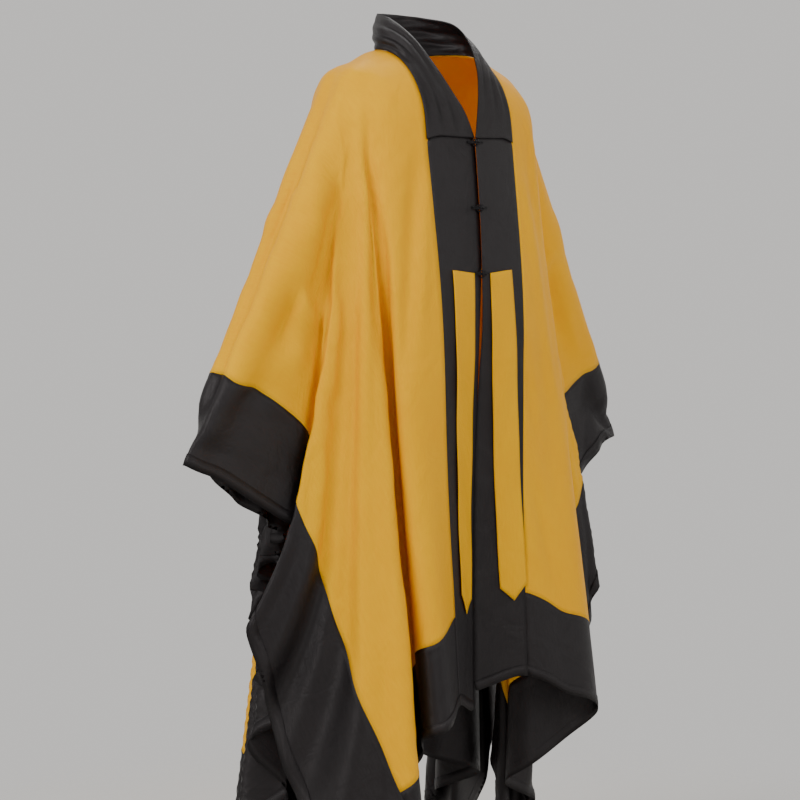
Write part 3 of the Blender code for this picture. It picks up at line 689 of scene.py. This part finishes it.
def relief(flat):
    """Height of the soft folds and sewn seams over the settled cloth at rows of flat points."""
    across, down = np.abs(flat[:, 0]), flat[:, 1]
    height = np.zeros(len(flat))
    for side, start_across, start_down, end_across, end_down, half_width, rise in SOFT_FOLDS:
        run = np.array((end_across - start_across, end_down - start_down))
        length = math.hypot(*run)
        run /= length
        away = np.stack([across - start_across, down - start_down])
        along = run @ away
        aside = run[1] * away[0] - run[0] * away[1]
        ease = np.clip(np.minimum(along, length - along) / SOFT_FADE, 0.0, 1.0)
        on_side = flat[:, 0] * side > 0
        ridge = rise * np.exp(-((aside / half_width) ** 2))
        height += on_side * ridge * ease ** 2 * (3 - 2 * ease)
    at_side = np.abs(across - SIDE_SEAM) < NEAR_LINE
    at_hem = (np.abs(np.abs(down) - HEM_SEAM) < NEAR_LINE) & (across < SIDE_SEAM)
    at_band = (np.abs(across - BAND) < NEAR_LINE) & (down > COLLAR_SEAM)
    return height - SEAM_DIP * (at_side | at_hem | at_band)


def stitch_rows(flat):
    """Rows of the numbers of the flat points that lie along a hem's stitch line, in order."""
    aside, below = HALF_WIDTH - np.abs(flat[:, 0]), LENGTH - np.abs(flat[:, 1])
    rows = [(np.abs(aside - STITCH_LINE) < NEAR_LINE) & (below > STITCH_LINE - NEAR_LINE)]
    along_hem = (np.abs(below - STITCH_LINE) < NEAR_LINE) & (aside > STITCH_LINE - NEAR_LINE)
    for end in (-1, 1):
        rows.append(along_hem & (flat[:, 1] * end > 0))
    for chosen, column in zip(rows, (1, 0, 0)):
        numbers = np.nonzero(chosen)[0]
        if len(numbers) > 1:
            yield numbers[np.argsort(flat[numbers, column])]


def make_stitches(name, points, normals, flat):
    """Stitches along a piece's hem."""
    thread = Tubes(4)
    raised = points / CM + normals * LAYER
    for row in stitch_rows(flat):
        for low, high in zip(row, row[1:]):
            near, far = Vector(raised[low]), Vector(raised[high])
            for k in range(STITCHES_IN_CELL):
                ends = (k + STITCH_GAP) / STITCHES_IN_CELL, (k + 1 - STITCH_GAP) / STITCHES_IN_CELL
                thread.add([near.lerp(far, share) for share in ends], THREAD_RADIUS)
    return thread.make("stitches_" + name)


def sewn_piece(name, places, normals, corners, uvs):
    """One sewn piece with its turned-up hem, as a thin wall, and the stitches of that hem."""
    used, numbers = np.unique(corners, return_inverse=True)
    numbers = numbers.reshape(-1, 4)
    points = places[used]
    flat = np.zeros((len(used), 2))
    flat[numbers] = uvs / CM
    if name == "front_band_right":
        near_edge = np.clip(1 - np.abs(flat[:, 0]) / LAP_REACH, 0, 1)
        lap = near_edge * np.clip((LAP_END - flat[:, 1]) / LAP_FADE, 0, 1)
        points += lap[:, None] * (normals[used] * LAP_RISE + (LAP, 0, 0)) * CM
    # The turn-up lies inside, is sewn to the piece along its free edge, and is folded at the hem.
    from_edge = np.minimum(HALF_WIDTH - np.abs(flat[:, 0]), LENGTH - np.abs(flat[:, 1]))
    hemmed = (from_edge < TURN_UP).any()
    stitches = make_stitches(name, points, normals[used], flat) if hemmed else None
    turned = (from_edge[numbers] < TURN_UP + NEAR_LINE).all(axis=1)
    if turned.any():
        inner = np.unique(numbers[turned])
        renumber = np.arange(len(used))
        free = inner[from_edge[inner] > NEAR_LINE]
        renumber[free] = len(used) + np.arange(len(free))
        inside = points[free] - normals[used[free]] * TURN_UP_LAYERS * LAYER * CM
        points = np.concatenate([points, inside])
        numbers = np.concatenate([numbers, renumber[numbers[turned]][:, ::-1]])
        uvs = np.concatenate([uvs, uvs[turned][:, ::-1]])
    piece = new_mesh(name + "_cloth", points, numbers.tolist())
    add_wall(piece, uvs, LAYER)
    return piece, stitches


def add_wall(piece, uvs, thickness):
    """Gives a piece its flat coordinates, smooth shading, and a wall that thick."""
    layer = piece.data.uv_layers.new(name="cut")
    layer.data.foreach_set("uv", uvs.astype(np.float32).ravel())
    piece.data.shade_smooth()
    wall = piece.modifiers.new("wall", "SOLIDIFY")
    wall.thickness = thickness * CM
    wall.offset = 0.0


def smooth_rows(rows, parts):
    """Rows of places with more rows put between them, on a smooth curve through the given ones."""
    table = [[k] + [tuple(place) for place in row] for k, row in enumerate(rows)]
    made = []
    for k in range((len(rows) - 1) * parts + 1):
        key = k / parts
        at = min(int(key), len(rows) - 2)
        near = [table[min(max(at + step, 0), len(rows) - 1)] for step in (-1, 0, 1, 2)]
        u = key - at
        weights = (
            (-u + 2 * u ** 2 - u ** 3) / 2,
            (2 - 5 * u ** 2 + 3 * u ** 3) / 2,
            (u + 4 * u ** 2 - 3 * u ** 3) / 2,
            (-u ** 2 + u ** 3) / 2,
        )
        line = []
        for column in range(1, len(table[0])):
            line.append(sum((Vector(row[column]) * w for row, w in zip(near, weights)), Vector((0, 0, 0))))
        made.append(line)
    return made


COLLAR_STRIPS = 24
COLLAR_PARTS = 10
COLLAR_WALL = 0.22
# How far the collar laps over the top of the band, and how high over it.
COLLAR_LAP, COLLAR_RISE = 0.5, 0.15
# Height of the creases along the collar, how many cross its width, and how fast they fade at its edges.
CREASE_HEIGHT = 0.24
CREASES = 3.3
CREASE_EDGE = 6


def collar_half(side):
    """Rows of places of the collar from the front seam to the middle of the back of the neck."""
    steps_across = [k / COLLAR_STRIPS for k in range(COLLAR_STRIPS + 1)]
    rows = [[]]
    for share in steps_across:
        across = BAND * (1 - share)
        rise = cloth_normal(side, across, COLLAR_SEAM) * COLLAR_RISE
        rows[0].append(cloth_point(side, across, COLLAR_SEAM + COLLAR_LAP) + rise)
    for seam_across, seam_down, edge_out, edge_forward, edge_up, swell in COLLAR_SECTIONS:
        seam = cloth_point(side, seam_across, seam_down)
        edge = Vector((side * edge_out, -edge_forward, edge_up))
        away = Vector((seam.x + edge.x, seam.y + edge.y, 2.0)).normalized()
        row = [seam.lerp(edge, share) + away * swell * math.sin(math.pi * share) for share in steps_across]
        rows.append(row)
    return rows


def grid_normals(rows):
    """Directions out of a grid of places, from its neighbours."""
    normals = []
    for r, row in enumerate(rows):
        line = []
        for k, _ in enumerate(row):
            above, below = rows[max(r - 1, 0)][k], rows[min(r + 1, len(rows) - 1)][k]
            before, after = row[max(k - 1, 0)], row[min(k + 1, len(row) - 1)]
            line.append((after - before).cross(below - above).normalized())
        normals.append(line)
    return normals


def collar_puff(along, share):
    """Height of the soft creases along the collar, at a distance along it and a share of its width."""
    drift = 0.05 * math.sin(along * 0.21) + 0.03 * math.sin(along * 0.53 + 1.0)
    waves = math.cos(2 * math.pi * (CREASES * (share + drift)))
    strength = CREASE_HEIGHT * (0.6 + 0.4 * math.sin(along * 0.31 + 2.0 * share))
    return strength * waves * min(1.0, CREASE_EDGE * share, CREASE_EDGE * (1 - share))


def make_collar():
    """Standing collar in one piece, as thick as its own folded cloth."""
    right, left = collar_half(RIGHT), collar_half(LEFT)
    rows = smooth_rows(right + left[-2::-1], COLLAR_PARTS)
    normals = grid_normals(rows)
    mesh_rows, uvs = [], []
    along = 0.0
    middle = COLLAR_STRIPS // 2
    for r, row in enumerate(rows):
        if r:
            along += (row[middle] - rows[r - 1][middle]).length
        line = []
        for k, place in enumerate(row):
            share = k / COLLAR_STRIPS
            ease = min(1.0, r / COLLAR_PARTS, (len(rows) - 1 - r) / COLLAR_PARTS)
            line.append(place + normals[r][k] * collar_puff(along, share) * ease)
            uvs.append((along * CM, BAND * share * CM))
        mesh_rows.append(line)
    return grid_piece("collar_cloth", mesh_rows, uvs, COLLAR_WALL)


def grid_piece(name, rows, uvs, thickness):
    """A wall over a grid of places in centimetres, with flat coordinates in metres."""
    width = len(rows[0])
    places = [place * CM for row in rows for place in row]
    cells = []
    for r in range(len(rows) - 1):
        for k in range(width - 1):
            first = r * width + k
            cells.append((first, first + 1, first + width + 1, first + width))
    piece = new_mesh(name, places, cells)
    loops = read(piece.data.loops, "vertex_index", 1, np.int32)[:, 0]
    add_wall(piece, np.array(uvs)[loops], thickness)
    return piece


RIBBON_STRIPS = 12
RIBBON_ROWS = 80
# Rows at the tip that are drawn out to its point.
RIBBON_POINT_ROWS = 6
# Height over the band at the sewn top and where the ribbon hangs free, and the height of its ripples.
RIBBON_RISE = (0.2, 0.32)
RIBBON_RIPPLE = 0.07


def make_ribbon(cloth, side, word):
    """Ribbon with a pointed end, sewn on at its top and hanging over the band."""
    top_middle, tip_middle = RIBBON_PLACE[side]
    rows, uvs = [], []
    for r in range(RIBBON_ROWS + 1):
        along = (RIBBON_LENGTH - RIBBON_POINT) * r / RIBBON_ROWS
        middle = top_middle + (tip_middle - top_middle) * r / RIBBON_ROWS
        free = min(4 * r / RIBBON_ROWS, 1.0)
        row = []
        for k in range(RIBBON_STRIPS + 1):
            part = 2 * k / RIBBON_STRIPS - 1
            tip = max(1 - (RIBBON_ROWS - r) / RIBBON_POINT_ROWS, 0.0)
            point = RIBBON_POINT * (1 - abs(part)) * tip
            ripple = RIBBON_RIPPLE * math.sin(along * 0.35 + 2.5 * part + side) * free
            rise = RIBBON_RISE[0] + (RIBBON_RISE[1] - RIBBON_RISE[0]) * free + ripple
            across = middle + RIBBON_HALF * part
            down = RIBBON_TOP + (along + point) * RIBBON_SPAN[side]
            row.append(cloth.over(side, across, down, rise))
            uvs.append((RIBBON_HALF * part * CM, (along + point) * CM))
        rows.append(row)
    return grid_piece(f"ribbon_{word}_cloth", rows, uvs, 2 * LAYER)


class Tubes:
    """Round cords joined in one mesh."""

    def __init__(self, sides=8):
        self.mesh = bmesh.new()
        self.sides = sides

    def add(self, places, radius, closed=False):
        """Adds a cord through places in centimetres, round or with its ends closed."""
        count = len(places)
        rings = []
        first = None
        for k, place in enumerate(places):
            before = places[k - 1] if closed or k > 0 else place
            after = places[(k + 1) % count] if closed or k < count - 1 else place
            heading = (after - before).normalized()
            if first is None:
                first = heading.orthogonal()
            first = (first - heading * first.dot(heading)).normalized()
            second = heading.cross(first)
            ring = []
            for side in range(self.sides):
                angle = 2 * math.pi * side / self.sides
                arm = first * math.cos(angle) + second * math.sin(angle)
                ring.append(self.mesh.verts.new((place + arm * radius) * CM))
            rings.append(ring)
        skin(self.mesh, zip(rings, rings[1:]))
        if closed:
            skin(self.mesh, [(rings[-1], rings[0])])
        else:
            self.mesh.faces.new(rings[0][::-1])
            self.mesh.faces.new(rings[-1])

    def make(self, name):
        made = from_bmesh(name, self.mesh)
        made.data.shade_smooth()
        return made


# The knot is a cord laced round a ball: its turns, its waves from side to side, and how far out they go.
KNOT_RADIUS = 0.44
KNOT_CORD = 0.13
KNOT_HEIGHT = 0.84
KNOT_TURNS = 3
KNOT_WAVES = 4
KNOT_SPAN = 0.72
KNOT_STEPS = 96
# The solid core inside the lace, in cylinders.
CORE_STEPS = 8
CORE_REACH = 0.8
CORE_SHARE = 0.92
# The doubled tails: where they end and start from the centre line, where the knot's begins to lift, and
# half the spread of the knot's.
TAIL_END = 1.8
TAIL_START = 0.3
TAIL_LIFT = 1.25
TAIL_HALF = 0.13
TAIL_STEPS = 8
# The loop: its round end, its neck, half the spread of its tail, and the bend at the tail's end.
LOOP_RADIUS = 0.62
LOOP_NECK = 0.26
LOOP_HALF = 0.14
LOOP_BEND = 0.15
LOOP_STEPS = 16
LOOP_CORD = 0.12
LOOP_HEIGHT = 0.2


def make_knot(cloth, number, down):
    """Knot of cord that stands on a doubled tail sewn to the right front."""
    out = cloth.normal(RIGHT, 0.6, down)
    across_way = (cloth.place(LEFT, 1.0, down) - cloth.place(RIGHT, 1.0, down)).normalized()
    up = across_way.cross(out) if across_way.cross(out).z > 0 else out.cross(across_way)
    centre = cloth.place(RIGHT, 0.02, down) + out * KNOT_HEIGHT
    cords = Tubes()
    lace = []
    for k in range(KNOT_STEPS):
        turn = 2 * math.pi * k / KNOT_STEPS
        around, height = KNOT_TURNS * turn, KNOT_SPAN * math.sin(KNOT_WAVES * turn)
        radius = KNOT_RADIUS * (1 + 0.1 * math.cos(KNOT_TURNS * KNOT_WAVES * turn))
        level = math.cos(height * math.pi / 2) * radius
        lace.append(
            centre + up * level * math.cos(around) + out * level * math.sin(around)
            + across_way * radius * math.sin(height * math.pi / 2)
        )
    cords.add(lace, KNOT_CORD, closed=True)
    core = []
    for k in range(CORE_STEPS + 1):
        core.append(centre + across_way * KNOT_RADIUS * (2 * k / CORE_STEPS - 1) * CORE_REACH)
    for low, high in zip(core, core[1:]):
        middle = ((low + high) / 2 - centre).length
        cords.add([low, high], math.sqrt(max((KNOT_RADIUS * CORE_SHARE) ** 2 - middle ** 2, 0.01)))
    for offset in (-TAIL_HALF, TAIL_HALF):
        tail = []
        for k in range(TAIL_STEPS + 1):
            place = TAIL_END - (TAIL_END - TAIL_START) * k / TAIL_STEPS
            lifted = max((TAIL_LIFT - place) / (TAIL_LIFT - TAIL_START), 0.0) ** 1.5
            rise = LOOP_HEIGHT + (KNOT_HEIGHT - LOOP_HEIGHT) * lifted
            tail.append(cloth.over(RIGHT, place, down + offset, rise))
        cords.add(tail, LOOP_CORD)
    return cords.make(f"knot_{number}")


def make_loop(cloth, number, down):
    """Cord loop round the knot, with its doubled tail sewn to the left front."""
    outline = []
    for k in range(LOOP_STEPS + 1):
        angle = math.pi * (k / LOOP_STEPS - 0.5)
        outline.append((-LOOP_RADIUS * math.cos(angle), LOOP_RADIUS * math.sin(angle)))
    upper = [(LOOP_RADIUS * 0.7, LOOP_NECK * 1.4), (LOOP_RADIUS * 1.4, LOOP_HALF)]
    upper.append((TAIL_END - LOOP_BEND, LOOP_HALF))
    outline += upper + [(TAIL_END, 0.0)] + [(out, -offset) for out, offset in reversed(upper)]
    places = []
    for out, offset in outline:
        side = LEFT if out >= 0 else RIGHT
        places.append(cloth.over(side, max(abs(out), 0.02), down + offset, LOOP_HEIGHT))
    cords = Tubes()
    cords.add(places, LOOP_CORD, closed=True)
    return cords.make(f"cord_loop_{number}")


class Shading:
    """Builds one node material."""

    def __init__(self, name):
        self.material = bpy.data.materials.new(name)
        self.material.use_nodes = True
        self.tree = self.material.node_tree
        self.shader = self.tree.nodes["Principled BSDF"]
        self.output = self.tree.nodes["Material Output"]

    def fill(self, node, inputs):
        """Sets a node's inputs from (socket, value) pairs, where a value may be another node's socket."""
        for name, value in inputs:
            if isinstance(value, bpy.types.NodeSocket):
                self.tree.links.new(value, node.inputs[name])
            else:
                node.inputs[name].default_value = value

    def node(self, kind, inputs=(), **settings):
        """Adds a node with those inputs and settings."""
        made = self.tree.nodes.new("ShaderNode" + kind)
        for name, value in settings.items():
            setattr(made, name, value)
        self.fill(made, inputs)
        return made

    def bump(self, height, distance, strength, under=()):
        """Adds a bump, over the bump whose output is in under, and returns its output."""
        inputs = [("Height", height), ("Distance", distance), ("Strength", strength)]
        inputs += [("Normal", normal) for normal in under]
        return self.node("Bump", inputs).outputs[0]


def cloth_material(name, low, high, rough, shine_tint, shine, glow, glow_share):
    """Thin woven cloth, between a low and a high tone.

    Its fine weave and pulls come from its flat coordinates, and a share of the light glows through it.
    """
    s = Shading(name)
    cut = s.node("UVMap", uv_map="cut").outputs["UV"]
    broad = s.node("TexNoise", (("Vector", cut), ("Scale", 3.0), ("Detail", 2.0)))
    stretched = s.node("Mapping", (("Vector", cut), ("Scale", (9.0, 1.0, 1.0))))
    pulls = s.node("TexNoise", (("Vector", stretched.outputs[0]), ("Scale", 30.0), ("Detail", 4.0)))
    tone = s.node("Math", ((0, broad.outputs[0]), (1, pulls.outputs[0])), operation="ADD")
    share = s.node("MapRange", (("Value", tone.outputs[0]), ("From Min", 0.75), ("From Max", 1.25)))
    tones = (("Fac", share.outputs[0]), ("Color1", (*low, 1.0)), ("Color2", (*high, 1.0)))
    colour = s.node("MixRGB", tones)
    threads = (("Vector", cut), ("Scale", 900.0), ("Distortion", 0.6))
    warp = s.node("TexWave", threads, bands_direction="X")
    weft = s.node("TexWave", threads, bands_direction="Y")
    weave = s.node("Math", ((0, warp.outputs[1]), (1, weft.outputs[1])), operation="MULTIPLY")
    crumple = s.node("TexNoise", (("Vector", cut), ("Scale", 14.0), ("Detail", 3.0), ("Distortion", 0.8)))
    soft = s.bump(crumple.outputs[0], distance=0.012, strength=0.35)
    fine = s.bump(pulls.outputs[0], distance=0.001, strength=0.4, under=[soft])
    looks = (
        ("Base Color", colour.outputs[0]),
        ("Roughness", rough),
        ("Specular IOR Level", shine),
        ("Specular Tint", (*shine_tint, 1.0)),
        ("Normal", s.bump(weave.outputs[0], distance=0.0002, strength=0.5, under=[fine])),
    )
    s.fill(s.shader, looks)
    through = s.node("BsdfTranslucent", (("Color", (*glow, 1.0)), ("Normal", soft)))
    shares = (("Fac", glow_share), (1, s.shader.outputs[0]), (2, through.outputs[0]))
    s.fill(s.output, (("Surface", s.node("MixShader", shares).outputs[0]),))
    return s.material


def cord_material():
    """Twisted black cord."""
    s = Shading("black_cord")
    place = s.node("TexCoord").outputs["Object"]
    strands = (("Vector", place), ("Scale", 420.0), ("Distortion", 1.5))
    twist = s.node("TexWave", strands, bands_direction="DIAGONAL")
    looks = (
        ("Base Color", (0.006, 0.005, 0.006, 1.0)),
        ("Roughness", 0.5),
        ("Specular IOR Level", 0.25),
        ("Normal", s.bump(twist.outputs[1], distance=0.0004, strength=0.6)),
    )
    s.fill(s.shader, looks)
    return s.material


# The floor is whole out to FLOOR_FULL, and has faded out at FLOOR_REACH.
FLOOR_HEIGHT = -1.56
FLOOR_FULL, FLOOR_REACH = 0.75, 1.7
FLOOR_SIDES = 96


def floor_material():
    """Pale matt floor that fades out round the robe."""
    s = Shading("studio_floor")
    place = s.node("TexCoord").outputs["Object"]
    grain = s.node("TexNoise", (("Vector", place), ("Scale", 60.0), ("Detail", 2.0)))
    reach = s.node("VectorMath", ((0, place),), operation="LENGTH").outputs["Value"]
    fade = [("Value", reach), ("From Min", FLOOR_FULL), ("From Max", FLOOR_REACH)]
    fade += [("To Min", 1.0), ("To Max", 0.0)]
    looks = (
        ("Base Color", (0.62, 0.605, 0.58, 1.0)),
        ("Roughness", 0.9),
        ("Normal", s.bump(grain.outputs[0], distance=0.0005, strength=0.1)),
        ("Alpha", s.node("MapRange", fade, interpolation_type="SMOOTHSTEP").outputs[0]),
    )
    s.fill(s.shader, looks)
    return s.material


# The camera: its turn about the robe, its distance and height, and the height that it looks at.
VIEW_TURN = math.radians(-45.0)
VIEW_DISTANCE = 4.5
VIEW_HEIGHT = -0.35
VIEW_ASIDE = -0.036
AIM_HEIGHT = -0.6306
VIEW_LENS = 112.4


def seen_from(side, back, up):
    """Place to the camera's side, back towards it and up, from the robe's middle."""
    sideways = Vector((math.cos(VIEW_TURN), math.sin(VIEW_TURN), 0))
    backwards = Vector((math.sin(VIEW_TURN), -math.cos(VIEW_TURN), 0))
    return sideways * side + backwards * back + Vector((0, 0, up))


def point_at(made, aim):
    made.rotation_euler = (aim - made.location).to_track_quat("-Z", "Y").to_euler()


def add_camera():
    camera = add_object("camera", bpy.data.cameras.new("camera"))
    camera.data.lens = VIEW_LENS
    camera.location = seen_from(VIEW_ASIDE, VIEW_DISTANCE, VIEW_HEIGHT)
    point_at(camera, seen_from(VIEW_ASIDE, 0.0, AIM_HEIGHT))
    bpy.context.scene.camera = camera


def add_floor(material):
    """Round floor under the robe."""
    rim = [2 * math.pi * k / FLOOR_SIDES for k in range(FLOOR_SIDES)]
    places = [(FLOOR_REACH * math.cos(angle), FLOOR_REACH * math.sin(angle), 0.0) for angle in rim]
    floor = new_mesh("floor", places, [list(range(FLOOR_SIDES))])
    floor.location.z = FLOOR_HEIGHT
    floor.data.materials.append(material)


LIGHTS = (
    # name, side, back, up, size, power
    ("key", -2.2, 2.6, 1.6, 1.8, 108.0),
    ("fill", 2.6, 2.4, 0.6, 2.2, 44.0),
    ("rear", 0.6, -1.6, 1.8, 1.4, 30.0),
)
# The height that the lights point at, and the even light from all round.
LIT_HEIGHT = -0.7
SKY_COLOUR = (0.93, 0.91, 0.885, 1.0)
SKY_STRENGTH = 0.75


def add_lights():
    for name, side, back, up, size, power in LIGHTS:
        light = bpy.data.lights.new(name, "AREA")
        light.energy = power
        light.size = size
        lamp = add_object(name, light)
        lamp.location = seen_from(side, back, up)
        point_at(lamp, Vector((0, 0, LIT_HEIGHT)))
    world = bpy.data.worlds.new("studio")
    world.use_nodes = True
    background = world.node_tree.nodes["Background"]
    background.inputs["Color"].default_value = SKY_COLOUR
    background.inputs["Strength"].default_value = SKY_STRENGTH
    bpy.context.scene.world = world


yellow = cloth_material(
    "yellow_cloth",
    low=(0.95, 0.49, 0.0),
    high=(1.0, 0.56, 0.0),
    rough=0.36,
    shine_tint=(1.0, 0.66, 0.05),
    shine=0.45,
    glow=(1.0, 0.55, 0.0),
    glow_share=0.3,
)
black = cloth_material(
    "black_cloth",
    low=(0.008, 0.0065, 0.007),
    high=(0.012, 0.01, 0.011),
    rough=0.4,
    shine_tint=(1.0, 0.95, 0.95),
    shine=0.3,
    glow=(0.06, 0.03, 0.03),
    glow_share=0.1,
)
cord = cord_material()

robe_cloth = RobeCloth()
robe = new_mesh("robe", robe_cloth.worn, robe_cloth.cells)
robe_cloth.settled = settle(robe, robe_cloth.flat)
settled = new_mesh("settled", robe_cloth.settled, robe_cloth.cells)
bpy.data.objects.remove(robe)
robe = settled

# Width, length and flat area of each piece's cut. The collar's length is along its middle.
FRONT_HEM = SIDE_SEAM - BAND
BAND_LENGTH = LENGTH - COLLAR_SEAM
COLLAR_LENGTH = 64.0
CUTS = {
    "body": (SIDE_SEAM, 2 * HEM_SEAM, SIDE_SEAM * 2 * HEM_SEAM - BAND * HEM_SEAM),
    "side_border": (BORDER, 2 * LENGTH, BORDER * 2 * LENGTH),
    "hem_front": (FRONT_HEM, BORDER, FRONT_HEM * BORDER),
    "hem_back": (SIDE_SEAM, BORDER, SIDE_SEAM * BORDER),
    "front_band": (BAND, BAND_LENGTH, BAND * BAND_LENGTH),
    "ribbon": (2 * RIBBON_HALF, RIBBON_LENGTH, 2 * RIBBON_HALF * (RIBBON_LENGTH - RIBBON_POINT / 2)),
    "collar": (BAND, COLLAR_LENGTH, BAND * COLLAR_LENGTH),
}


def finish_sheet(piece, node, material):
    """Gives a sewn piece its cloth, hangs it on the root and hides the frame's part of that node. It reads
    the piece's cut from CUTS but does nothing with it.
    """
    piece.data.materials.append(material)
    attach(piece, "root")
    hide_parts(node)
    width, length, area = CUTS[node.removesuffix("_right").removesuffix("_left")]


for name, (piece, stitches) in sewn_pieces(robe_cloth, robe).items():
    if stitches:
        stitches.data.materials.append(cord)
        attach(stitches, "root")
    finish_sheet(piece, name, yellow if name.startswith("body") else black)

collar = make_collar()
finish_sheet(collar, "collar", black)
for side, word in SIDES:
    ribbon = make_ribbon(robe_cloth, side, word)
    finish_sheet(ribbon, f"ribbon_{word}", yellow)
for number in range(1, BUTTON_COUNT + 1):
    down = BUTTON_TOP + BUTTON_PITCH * (number - 1)
    knot = make_knot(robe_cloth, number, down)
    loop = make_loop(robe_cloth, number, down)
    for piece, node in ((knot, f"button_{number}"), (loop, f"loop_{number}")):
        piece.data.materials.append(cord)
        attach(piece, "root")
        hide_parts(node)

add_floor(floor_material())
add_lights()
add_camera()
